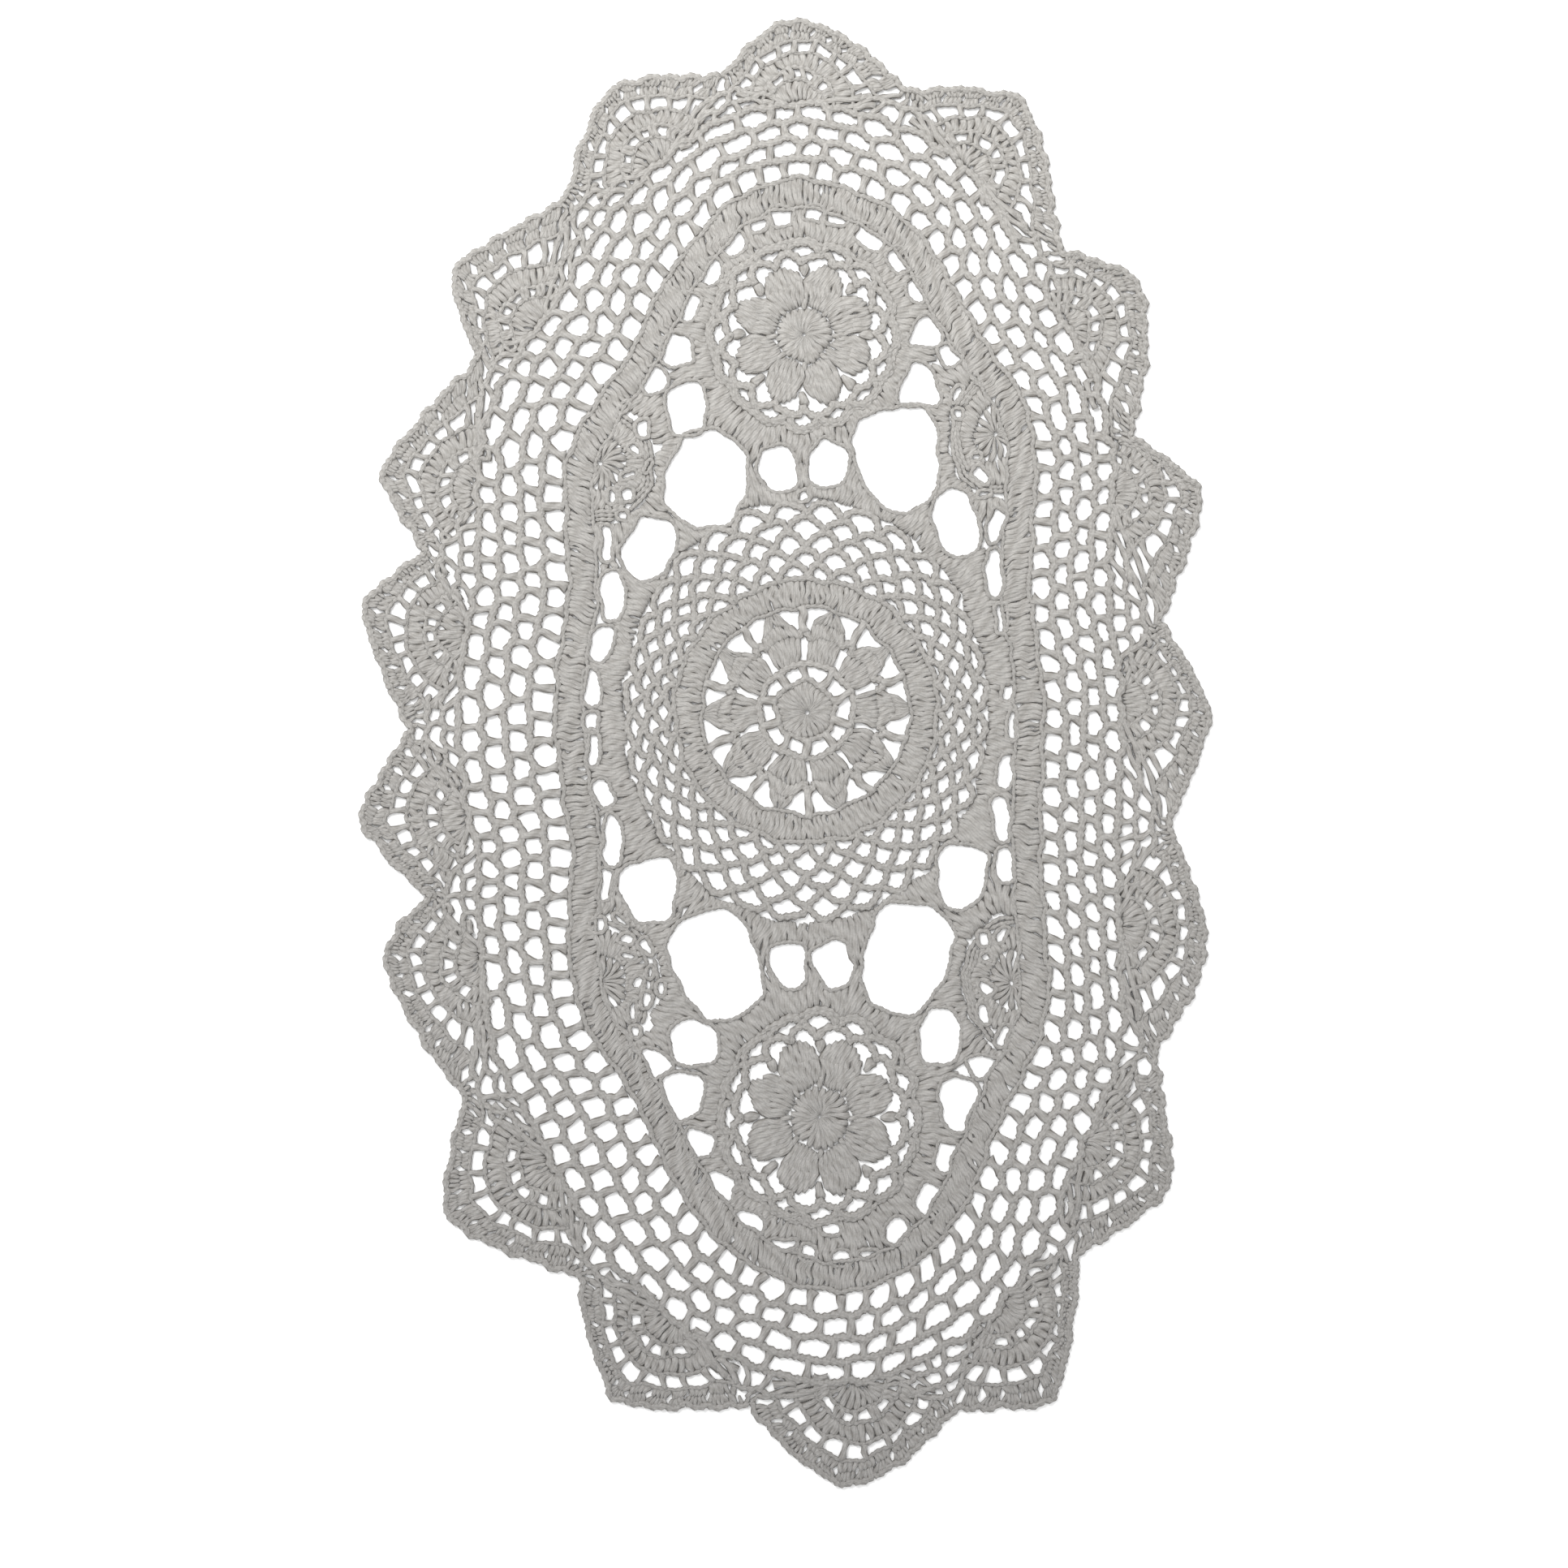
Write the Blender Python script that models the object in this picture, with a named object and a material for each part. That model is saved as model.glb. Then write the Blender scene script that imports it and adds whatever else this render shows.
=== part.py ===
"""Crochet placemat: an oval, scalloped cotton mat that lies flat, with its lace gaps cut through.

The mat is one piece of cloth, so it is one solid. Its frame: origin under the middle of the mat, +Y along
the mat's length, +X across it, +Z up. Plan sizes in the tables are millimetres.
"""

from math import atan2, cos, hypot, pi, radians, sin
from typing import NamedTuple

import bmesh
import bpy

MM = 0.001

MAT_LENGTH = 499.0
MAT_WIDTH = 290.0
MAT_THICKNESS = 2.4
COTTON_COLOUR = (0.43, 0.42, 0.40, 1.0)
COTTON_ROUGHNESS = 0.95

# The oval band of tall stitches, and the net ground and border outside it
BAND_WIDTH = 9.5
NET_CELLS = 102
NET_ROUND_DEPTHS = (7.9, 21.6)
NET_HOLES_IN_ROUND = 64
NET_HOLE_WIDTH = 8.8
NET_HOLE_DEPTH = 9.4
VALLEY_HOLE_DEPTH = 33.5
VALLEY_EDGE = 9.0
VALLEY_HOLE_WIDTH = 8.0
VALLEY_HOLE_LENGTH = 5.6
SHELL_DEPTH = 28.5
SHELL_HOLE_RADIUS = 12.0
SHELL_HOLE_ANGLE = 46.0
SHELL_HOLE_WIDTH = 5.6
SHELL_HOLE_LENGTH = 5.0

# The flower in the middle: a disc, ten leaf petals and the net round them
FLOWER_X = 7.6
FLOWER_Y = 14.5
PETALS = 10
PETAL_TURN = 2.0
DISC_HOLE_RADIUS = 13.5
DISC_HOLE_SIZE = 5.0
PETAL_HOLE_RADIUS = 30.6
PETAL_HOLE_INNER_WIDTH = 3.6
PETAL_HOLE_OUTER_WIDTH = 7.4
PETAL_HOLE_LENGTH = 8.2
FLOWER_NET_HOLES = 20
FLOWER_NET_WIDTH = 10.0
FLOWER_NET_LENGTH = 5.4

# How finely gaps and edges are drawn, and how square a gap is: 2 is an ellipse, more is boxier
NET_SIDES = 6
SMALL_SIDES = 8
LARGE_SIDES = 12
LARGE_HOLE = 15.0
GAP_SQUARENESS = 2.8
WEDGE_END = 0.75
WEDGE_STEPS = 4
CURVE_STEPS = 12
SIDE_STEPS = 5
TIP_CROWDING = 0.5
WELD_DISTANCE = 0.00001


class BandPoint(NamedTuple):
    """A point on the middle line of the oval band, clockwise from the top."""

    x: float
    y: float


class Scallop(NamedTuple):
    """One scallop of the border: its left valley, its tip and the net cells that it stands on."""

    valley_x: float
    valley_y: float
    tip_x: float
    tip_y: float
    cells: int
    tip_share: float
    roundness: float


class JoinHole(NamedTuple):
    """A gap where medallions and band meet: centre, size across and along, and turn in degrees."""

    x: float
    y: float
    width: float
    height: float
    turn: float


class NetRing(NamedTuple):
    """A round of gaps in the net about the middle flower: half its width, half its length, start."""

    half_x: float
    half_y: float
    start: float


BAND = (
    BandPoint(5, 191), BandPoint(24, 186), BandPoint(40, 173), BandPoint(54, 153), BandPoint(75, 121),
    BandPoint(81, 99), BandPoint(80, 58), BandPoint(82, 20), BandPoint(83, -40), BandPoint(83, -73),
    BandPoint(75, -112), BandPoint(62, -148), BandPoint(50, -168), BandPoint(32, -177), BandPoint(13, -177),
    BandPoint(-7, -166), BandPoint(-27, -150), BandPoint(-48, -109), BandPoint(-67, -76),
    BandPoint(-68, -42), BandPoint(-73, 8), BandPoint(-69, 60), BandPoint(-69, 98), BandPoint(-53, 135),
    BandPoint(-29, 173), BandPoint(-13, 186),
)

SCALLOPS = (
    Scallop(-20.6, 230.7, 5.4, 249.5, 5, 0.42, 1.75),
    Scallop(41.3, 225.8, 81.2, 222.7, 6, 0.38, 1.32),
    Scallop(94.1, 171.0, 121.2, 158.8, 5, 0.45, 1.65),
    Scallop(118.0, 107.6, 142.0, 89.2, 7, 0.35, 1.28),
    Scallop(128.2, 45.2, 145.0, 13.7, 7, 0.45, 1.30),
    Scallop(131.2, -24.5, 143.4, -66.8, 8, 0.55, 1.60),
    Scallop(126.2, -102.2, 131.2, -148.3, 7, 0.60, 1.25),
    Scallop(100.2, -170.2, 91.7, -220.0, 4, 0.62, 1.30),
    Scallop(58.8, -223.0, 22.3, -249.5, 5, 0.55, 1.55),
    Scallop(-12.0, -221.9, -58.2, -220.2, 6, 0.60, 1.25),
    Scallop(-70.1, -177.7, -114.6, -158.0, 7, 0.50, 1.32),
    Scallop(-108.5, -117.1, -135.6, -69.5, 5, 0.60, 1.60),
    Scallop(-120.4, -48.8, -144.8, -23.4, 7, 0.58, 1.20),
    Scallop(-127.1, 8.4, -143.6, 49.9, 6, 0.50, 1.30),
    Scallop(-121.8, 69.3, -137.3, 96.1, 6, 0.48, 1.20),
    Scallop(-103.5, 135.1, -113.2, 163.8, 6, 0.40, 1.20),
    Scallop(-74.0, 189.5, -59.0, 226.9, 5, 0.55, 1.30),
)

JOIN_HOLES = (
    JoinHole(-26.2, 93.6, 27.0, 32.0, -14), JoinHole(39.2, 100.2, 27.5, 35.0, 12),
    JoinHole(-1.8, 97.2, 12.5, 15.5, 10), JoinHole(15.4, 98.6, 13.5, 15.5, -10),
    JoinHole(-33.8, 118.4, 12.0, 16.0, 0), JoinHole(46.3, 125.8, 12.0, 15.0, 0),
    JoinHole(-46.0, 70.1, 16.5, 21.5, -24), JoinHole(58.8, 78.6, 14.5, 22.5, 12),
    JoinHole(-58.3, 53.4, 7.5, 17.0, 3), JoinHole(-62.1, 37.4, 7.0, 11.5, -14),
    JoinHole(-65.4, 22.3, 5.0, 13.0, 8), JoinHole(-61.3, -13.7, 5.6, 10.0, 18),
    JoinHole(-58.2, -29.5, 6.2, 17.0, -2), JoinHole(-60.7, -44.6, 4.8, 10.5, -10),
    JoinHole(72.3, 77.6, 4.6, 10.5, -12), JoinHole(71.5, 61.8, 5.0, 16.5, 4),
    JoinHole(75.4, -6.0, 5.4, 12.5, -12), JoinHole(74.2, -22.5, 5.6, 15.5, 4),
    JoinHole(75.1, -38.0, 5.4, 11.5, 8), JoinHole(60.4, -41.9, 16.0, 22.0, -12),
    JoinHole(-45.5, -46.9, 18.5, 22.0, 14), JoinHole(-22.6, -72.0, 28.0, 37.5, 22),
    JoinHole(41.5, -69.8, 28.0, 37.5, -18), JoinHole(1.8, -72.3, 11.5, 15.5, 8),
    JoinHole(17.3, -72.3, 12.5, 16.0, 14), JoinHole(-30.4, -98.6, 15.8, 15.5, 0),
    JoinHole(53.4, -96.4, 13.6, 19.0, -4), JoinHole(-33.9, -117.1, 12.5, 16.0, 0),
    JoinHole(59.6, -119.3, 12.0, 17.5, 0), JoinHole(-28.6, -132.9, 9.5, 9.8, 0),
    JoinHole(-21.7, -147.2, 11.5, 9.6, -20), JoinHole(-11.5, -160.0, 10.5, 7.0, -28),
    JoinHole(19.8, -172.0, 5.6, 5.0, 0), JoinHole(38.3, -162.4, 8.6, 7.0, 22),
    JoinHole(49.1, -151.7, 8.0, 9.6, -24), JoinHole(55.4, -136.5, 7.6, 10.4, -8),
    JoinHole(67.0, -107.7, 7.4, 7.6, 0), JoinHole(-44.7, -106.3, 8.8, 7.6, -35),
    JoinHole(-44.7, 126.8, 6.8, 7.0, 0), JoinHole(-36.6, 137.6, 10.2, 10.2, 0),
    JoinHole(-32.5, 152.2, 7.2, 9.2, -10), JoinHole(-25.3, 163.5, 8.2, 6.4, 25),
    JoinHole(-17.0, 173.2, 8.6, 6.0, 25), JoinHole(-0.7, 182.9, 6.8, 6.2, 0),
    JoinHole(10.4, 183.7, 6.8, 5.2, -12), JoinHole(28.9, 176.8, 9.8, 6.4, -22),
    JoinHole(39.1, 167.7, 6.4, 8.0, 30), JoinHole(45.2, 157.7, 6.0, 8.6, 8),
    JoinHole(48.5, 143.9, 9.2, 11.0, -6), JoinHole(56.5, 135.9, 7.0, 7.2, 30),
)

FLOWER_NET_RINGS = (NetRing(50.5, 53.0, 0.0), NetRing(58.0, 63.5, 9.0))


class Route:
    """A closed line in plan that is read by a number that runs from 0 to `cells` along its length."""

    def __init__(self, points, cells):
        self.points = points
        self.cells = cells
        self.marks = [0.0]
        for here, there in zip(points, points[1:] + points[:1]):
            self.marks.append(self.marks[-1] + hypot(there[0] - here[0], there[1] - here[1]))

    def at(self, cell):
        """The point at a cell number, straight between the two nearest points."""
        target = (cell % self.cells) / self.cells * self.marks[-1]
        index = 0
        while self.marks[index + 1] < target:
            index += 1
        share = (target - self.marks[index]) / (self.marks[index + 1] - self.marks[index])
        here = self.points[index]
        there = self.points[(index + 1) % len(self.points)]
        return here[0] + share * (there[0] - here[0]), here[1] + share * (there[1] - here[1])


def smooth_closed(points, steps):
    """A smooth closed line through the points: each span is a cubic that keeps its neighbours' slope."""
    line = []
    count = len(points)
    for index in range(count):
        before, start, end, after = (points[(index + shift) % count] for shift in (-1, 0, 1, 2))
        for step in range(steps):
            u = step / steps
            line.append(tuple(
                0.5 * (2 * p1 + (p2 - p0) * u + (2 * p0 - 5 * p1 + 4 * p2 - p3) * u * u
                       + (3 * p1 - p0 - 3 * p2 + p3) * u ** 3)
                for p0, p1, p2, p3 in zip(before, start, end, after)
            ))
    return line


def set_off(line, distance):
    """The line moved sideways by a distance; on a clockwise line a positive one is outwards."""
    moved = []
    count = len(line)
    for index, (x, y) in enumerate(line):
        before = line[index - 1]
        after = line[(index + 1) % count]
        along_x = after[0] - before[0]
        along_y = after[1] - before[1]
        length = hypot(along_x, along_y)
        moved.append((x - along_y / length * distance, y + along_x / length * distance))
    return moved


def scallop_line(index, across):
    """A point of a scallop's edge; across runs from -1, its left valley, over 0, its tip, to 1.

    The edge is the straight side from tip to valley, lifted by (a - a ** roundness) of the scallop's
    height, where a is the distance from the tip as a share: nothing at either end, most near the tip.
    """
    scallop = SCALLOPS[index]
    following = SCALLOPS[(index + 1) % len(SCALLOPS)]
    chord_x = following.valley_x - scallop.valley_x
    chord_y = following.valley_y - scallop.valley_y
    chord = hypot(chord_x, chord_y)
    out_x = -chord_y / chord
    out_y = chord_x / chord
    height = (scallop.tip_x - scallop.valley_x) * out_x + (scallop.tip_y - scallop.valley_y) * out_y
    side = scallop if across < 0 else following
    share = abs(across)
    lift = (share - share ** scallop.roundness) * height
    return (
        scallop.tip_x + share * (side.valley_x - scallop.tip_x) + lift * out_x,
        scallop.tip_y + share * (side.valley_y - scallop.tip_y) + lift * out_y,
    )


def mat_outline():
    """The scalloped edge, with points closer together near each rounded tip."""
    line = []
    for index in range(len(SCALLOPS)):
        for step in range(-SIDE_STEPS, SIDE_STEPS):
            share = step / SIDE_STEPS
            line.append(scallop_line(index, share * abs(share) ** TIP_CROWDING))
    low_x, high_x = min(x for x, y in line), max(x for x, y in line)
    low_y, high_y = min(y for x, y in line), max(y for x, y in line)
    scale_x = MAT_WIDTH / (high_x - low_x)
    scale_y = MAT_LENGTH / (high_y - low_y)
    return [
        ((x - (low_x + high_x) / 2) * scale_x, (y - (low_y + high_y) / 2) * scale_y) for x, y in line
    ]


def first_cell(index):
    """The number of the net cell at which a scallop starts; the first scallop straddles cell 0."""
    start = -SCALLOPS[0].tip_share * SCALLOPS[0].cells
    return start + sum(scallop.cells for scallop in SCALLOPS[:index])


def edge_at(cell):
    """The point of the scalloped edge that stands over a cell of the net."""
    turn = (cell - first_cell(0)) % NET_CELLS + first_cell(0)
    index = 0
    while index < len(SCALLOPS) - 1 and turn >= first_cell(index + 1):
        index += 1
    scallop = SCALLOPS[index]
    share = (turn - first_cell(index)) / scallop.cells
    if share < scallop.tip_share:
        return scallop_line(index, share / scallop.tip_share - 1)
    return scallop_line(index, (share - scallop.tip_share) / (1 - scallop.tip_share))


def ground_frame(cell, depth):
    """A place in the net ground: the point a depth outside the band, and the outward direction there."""
    foot = BAND_EDGE.at(cell)
    edge = edge_at(cell)
    length = hypot(edge[0] - foot[0], edge[1] - foot[1])
    out = ((edge[0] - foot[0]) / length, (edge[1] - foot[1]) / length)
    return foot[0] + out[0] * depth, foot[1] + out[1] * depth, atan2(out[1], out[0])


def turned(x, y, across, along, turn):
    """The point that lies across and along from (x, y) in a frame turned by an angle."""
    return x + across * cos(turn) - along * sin(turn), y + across * sin(turn) + along * cos(turn)


def rounded_gap(x, y, width, height, turn, sides):
    """A gap with evenly spread corners on a rounded box, between an ellipse and a rectangle."""
    points = []
    for side in range(sides):
        angle = 2 * pi * (side + 0.5) / sides
        box = (abs(cos(angle)) ** GAP_SQUARENESS + abs(sin(angle)) ** GAP_SQUARENESS) ** (-1 / GAP_SQUARENESS)
        across = width / 2 * box * cos(angle)
        along = height / 2 * box * sin(angle)
        points.append(turned(x, y, across, along, turn))
    return points


def wedge_gap(x, y, inner, outer, length, turn):
    """A gap that widens outwards to a round end, as between two petal tips: a box with a half round."""
    half = length / 2
    round_end = outer / 2 * WEDGE_END
    outline = [(-half, -inner / 2)]
    for step in range(WEDGE_STEPS + 1):
        angle = pi * (step / WEDGE_STEPS - 0.5)
        outline.append((half - round_end + round_end * cos(angle), outer / 2 * sin(angle)))
    outline.append((-half, inner / 2))
    return [turned(x, y, u, v, turn) for u, v in outline]


def net_gaps():
    """The net ground's gaps, at under twice the yarn net's own pitch, each round half a gap on."""
    gaps = []
    for row, depth in enumerate(NET_ROUND_DEPTHS):
        for column in range(NET_HOLES_IN_ROUND):
            cell = NET_CELLS * (column + 0.5 * row) / NET_HOLES_IN_ROUND
            x, y, out = ground_frame(cell, depth)
            gaps.append(rounded_gap(x, y, NET_HOLE_DEPTH, NET_HOLE_WIDTH, out, NET_SIDES))
    return gaps


def border_gaps():
    """One gap below each valley that is deep enough, and two beside the base of each scallop's shell."""
    gaps = []
    for index, scallop in enumerate(SCALLOPS):
        x, y, out = ground_frame(first_cell(index), VALLEY_HOLE_DEPTH)
        if hypot(scallop.valley_x - x, scallop.valley_y - y) > VALLEY_EDGE:
            gaps.append(rounded_gap(x, y, VALLEY_HOLE_LENGTH, VALLEY_HOLE_WIDTH, out, NET_SIDES))
        x, y, out = ground_frame(first_cell(index) + scallop.tip_share * scallop.cells, SHELL_DEPTH)
        for side in (-1, 1):
            lean = out + side * radians(SHELL_HOLE_ANGLE)
            gaps.append(rounded_gap(
                x + SHELL_HOLE_RADIUS * cos(lean), y + SHELL_HOLE_RADIUS * sin(lean),
                SHELL_HOLE_LENGTH, SHELL_HOLE_WIDTH, lean, NET_SIDES,
            ))
    return gaps


def flower_gaps():
    """The gaps round the middle flower's disc, beside its petal tips and in the net about it."""
    gaps = []
    for petal in range(PETALS):
        middle = radians(PETAL_TURN + 360 / PETALS * petal)
        gaps.append(rounded_gap(
            FLOWER_X + DISC_HOLE_RADIUS * cos(middle), FLOWER_Y + DISC_HOLE_RADIUS * sin(middle),
            DISC_HOLE_SIZE, DISC_HOLE_SIZE, middle, SMALL_SIDES,
        ))
        for side in (-1, 1):
            beside = middle + side * pi / PETALS / 2
            gaps.append(wedge_gap(
                FLOWER_X + PETAL_HOLE_RADIUS * cos(beside), FLOWER_Y + PETAL_HOLE_RADIUS * sin(beside),
                PETAL_HOLE_INNER_WIDTH, PETAL_HOLE_OUTER_WIDTH, PETAL_HOLE_LENGTH, beside,
            ))
    for ring in FLOWER_NET_RINGS:
        for number in range(FLOWER_NET_HOLES):
            angle = radians(ring.start + 360 / FLOWER_NET_HOLES * number)
            gaps.append(rounded_gap(
                FLOWER_X + ring.half_x * cos(angle), FLOWER_Y + ring.half_y * sin(angle),
                FLOWER_NET_LENGTH, FLOWER_NET_WIDTH, angle, NET_SIDES,
            ))
    return gaps


def join_gaps():
    """The gaps between the medallions, and between them and the band."""
    gaps = []
    for hole in JOIN_HOLES:
        sides = LARGE_SIDES if hole.height > LARGE_HOLE else SMALL_SIDES
        gaps.append(rounded_gap(hole.x, hole.y, hole.width, hole.height, radians(hole.turn), sides))
    return gaps


def cut_sheet(name, outline, gaps, collection):
    """A flat sheet with gaps: one filled plan curve, thickened, made a mesh and closed at its rims."""
    curve = bpy.data.curves.new(name + "_plan", "CURVE")
    curve.dimensions = "2D"
    curve.fill_mode = "BOTH"
    curve.extrude = MAT_THICKNESS / 2 * MM
    for line in [outline] + gaps:
        spline = curve.splines.new("POLY")
        spline.points.add(len(line) - 1)
        for point, (x, y) in zip(spline.points, line):
            point.co = (x * MM, y * MM, 0.0, 1.0)
        spline.use_cyclic_u = True
    plan = bpy.data.objects.new(name + "_plan", curve)
    plan.location.z = MAT_THICKNESS / 2 * MM
    collection.objects.link(plan)
    bpy.context.view_layer.update()
    depsgraph = bpy.context.evaluated_depsgraph_get()
    mesh = bpy.data.meshes.new_from_object(plan.evaluated_get(depsgraph))
    mesh.name = name
    mesh.transform(plan.matrix_world)
    cleaned = bmesh.new()
    cleaned.from_mesh(mesh)
    bmesh.ops.remove_doubles(cleaned, verts=cleaned.verts, dist=WELD_DISTANCE)
    bmesh.ops.recalc_face_normals(cleaned, faces=cleaned.faces)
    cleaned.to_mesh(mesh)
    cleaned.free()
    bpy.data.objects.remove(plan)
    bpy.data.curves.remove(curve)
    sheet = bpy.data.objects.new(name, mesh)
    collection.objects.link(sheet)
    return sheet


def cotton():
    """Matte, pale grey cotton yarn."""
    material = bpy.data.materials.new("cotton_yarn")
    material.use_nodes = True
    shader = material.node_tree.nodes["Principled BSDF"]
    shader.inputs["Base Color"].default_value = COTTON_COLOUR
    shader.inputs["Roughness"].default_value = COTTON_ROUGHNESS
    shader.inputs["Metallic"].default_value = 0.0
    return material


def build():
    """Clears the scene and builds the mat."""
    for item in list(bpy.data.objects):
        bpy.data.objects.remove(item)
    collection = bpy.data.collections.new("crochet_placemat")
    bpy.context.scene.collection.children.link(collection)
    gaps = net_gaps() + border_gaps() + flower_gaps() + join_gaps()
    mat = cut_sheet("crochet_mat", mat_outline(), gaps, collection)
    mat.data.materials.clear()
    mat.data.materials.append(cotton())


BAND_MIDDLE = smooth_closed([tuple(point) for point in BAND], CURVE_STEPS)
BAND_EDGE = Route(set_off(BAND_MIDDLE, BAND_WIDTH / 2), NET_CELLS)

build()
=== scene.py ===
"""Looks of the crochet placemat: every stitch of the mat as yarn, lying on a pale table.

The mat is laid out in plan, in millimetres, with +Y along its length. Each class below works one zone
of the crochet: its tall stitches are short strands, its chains are braided cords, and both are swept
as whole arrays and put into one mesh for the zone.
"""

import logging
from dataclasses import dataclass
from enum import Enum
from typing import NamedTuple

import bpy
import numpy as np
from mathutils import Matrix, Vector


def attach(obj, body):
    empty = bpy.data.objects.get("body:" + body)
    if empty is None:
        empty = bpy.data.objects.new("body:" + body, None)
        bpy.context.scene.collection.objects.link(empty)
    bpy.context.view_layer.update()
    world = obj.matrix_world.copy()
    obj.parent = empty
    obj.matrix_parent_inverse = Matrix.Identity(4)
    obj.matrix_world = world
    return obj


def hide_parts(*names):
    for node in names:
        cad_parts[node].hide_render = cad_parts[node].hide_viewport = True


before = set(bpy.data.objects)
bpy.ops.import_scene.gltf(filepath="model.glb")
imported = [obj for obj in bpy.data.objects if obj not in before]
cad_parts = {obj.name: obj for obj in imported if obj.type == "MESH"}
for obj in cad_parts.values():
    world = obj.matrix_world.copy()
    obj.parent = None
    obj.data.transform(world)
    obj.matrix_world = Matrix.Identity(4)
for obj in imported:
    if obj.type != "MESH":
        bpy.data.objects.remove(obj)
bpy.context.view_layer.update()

LOG = logging.getLogger("placemat")
MM = 0.001
TAU = 2.0 * np.pi
Plan = np.ndarray  # points in plan, millimetres, shape (..., 2)


# The plan of the mat
class BandPoint(NamedTuple):
    """A point on the middle line of the oval band, clockwise from the top."""

    x: float
    y: float


class ScallopRow(NamedTuple):
    """One scallop: its left valley, its tip, the net cells under it and the bulge of its sides.

    The tip stands over the place tip_share of the way along those cells.
    """

    valley_x: float
    valley_y: float
    tip_x: float
    tip_y: float
    cells: int
    tip_share: float
    roundness: float


class JoinHole(NamedTuple):
    """A gap in the joining: centre, size, turn in degrees and, as a share, how much wider its top is."""

    x: float
    y: float
    width: float
    height: float
    turn: float
    pinch: float = 0.0


BAND = tuple(BandPoint(*row) for row in (
    (5, 191), (24, 186), (35.5, 180), (43.7, 172), (50.2, 162), (55.6, 152), (66, 134.5), (75.7, 120.5),
    (79.4, 110), (81, 99), (79.9, 76), (79.1, 62), (79.6, 48), (81.8, 35), (83.6, 20), (83.4, 0),
    (82.7, -20), (83, -40), (84.6, -67), (85.4, -81), (82.2, -96), (74.4, -112), (69, -123),
    (63.1, -138), (57.8, -151), (50, -162), (41.4, -170.3), (31, -175.8), (20.3, -178), (9.5, -177),
    (-3.4, -172.4), (-15.5, -164.6), (-25.6, -154), (-33.2, -142.4), (-39.2, -129.8), (-45.6, -116.5),
    (-53, -104.5), (-61.8, -92.5), (-66.5, -80), (-68.3, -60), (-67.3, -42), (-67.3, -29), (-69.8, -16),
    (-72.8, 8), (-72.4, 26), (-70.2, 41), (-68.4, 53), (-68.8, 71), (-69.6, 95), (-64.9, 108),
    (-58.6, 119), (-51.8, 128.4), (-46.4, 137), (-38.2, 154.5), (-32.4, 164.4), (-25.6, 173),
    (-13.5, 185),
))

SCALLOPS = tuple(ScallopRow(*row) for row in (
    (-20.6, 230.7, 5.4, 249.5, 5, 0.42, 1.75), (41.3, 225.8, 81.2, 222.7, 6, 0.38, 1.32),
    (94.1, 171, 121.2, 158.8, 5, 0.45, 1.65), (118, 107.6, 142, 89.2, 7, 0.35, 1.28),
    (128.2, 45.2, 145, 13.7, 7, 0.45, 1.30), (131.2, -24.5, 143.4, -66.8, 8, 0.55, 1.60),
    (126.2, -102.2, 131.2, -148.3, 7, 0.60, 1.25), (100.2, -170.2, 91.7, -220, 4, 0.62, 1.30),
    (58.8, -223, 22.3, -249.5, 5, 0.55, 1.55), (-12, -221.9, -58.2, -220.2, 6, 0.60, 1.25),
    (-70.1, -177.7, -114.6, -158, 7, 0.50, 1.32), (-108.5, -117.1, -135.6, -69.5, 5, 0.60, 1.60),
    (-120.4, -48.8, -144.8, -23.4, 7, 0.58, 1.20), (-127.1, 8.4, -143.6, 49.9, 6, 0.50, 1.30),
    (-121.8, 69.3, -137.3, 96.1, 6, 0.48, 1.20), (-103.5, 135.1, -113.2, 163.8, 6, 0.40, 1.20),
    (-74, 189.5, -59, 226.9, 5, 0.55, 1.30),
))

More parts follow.
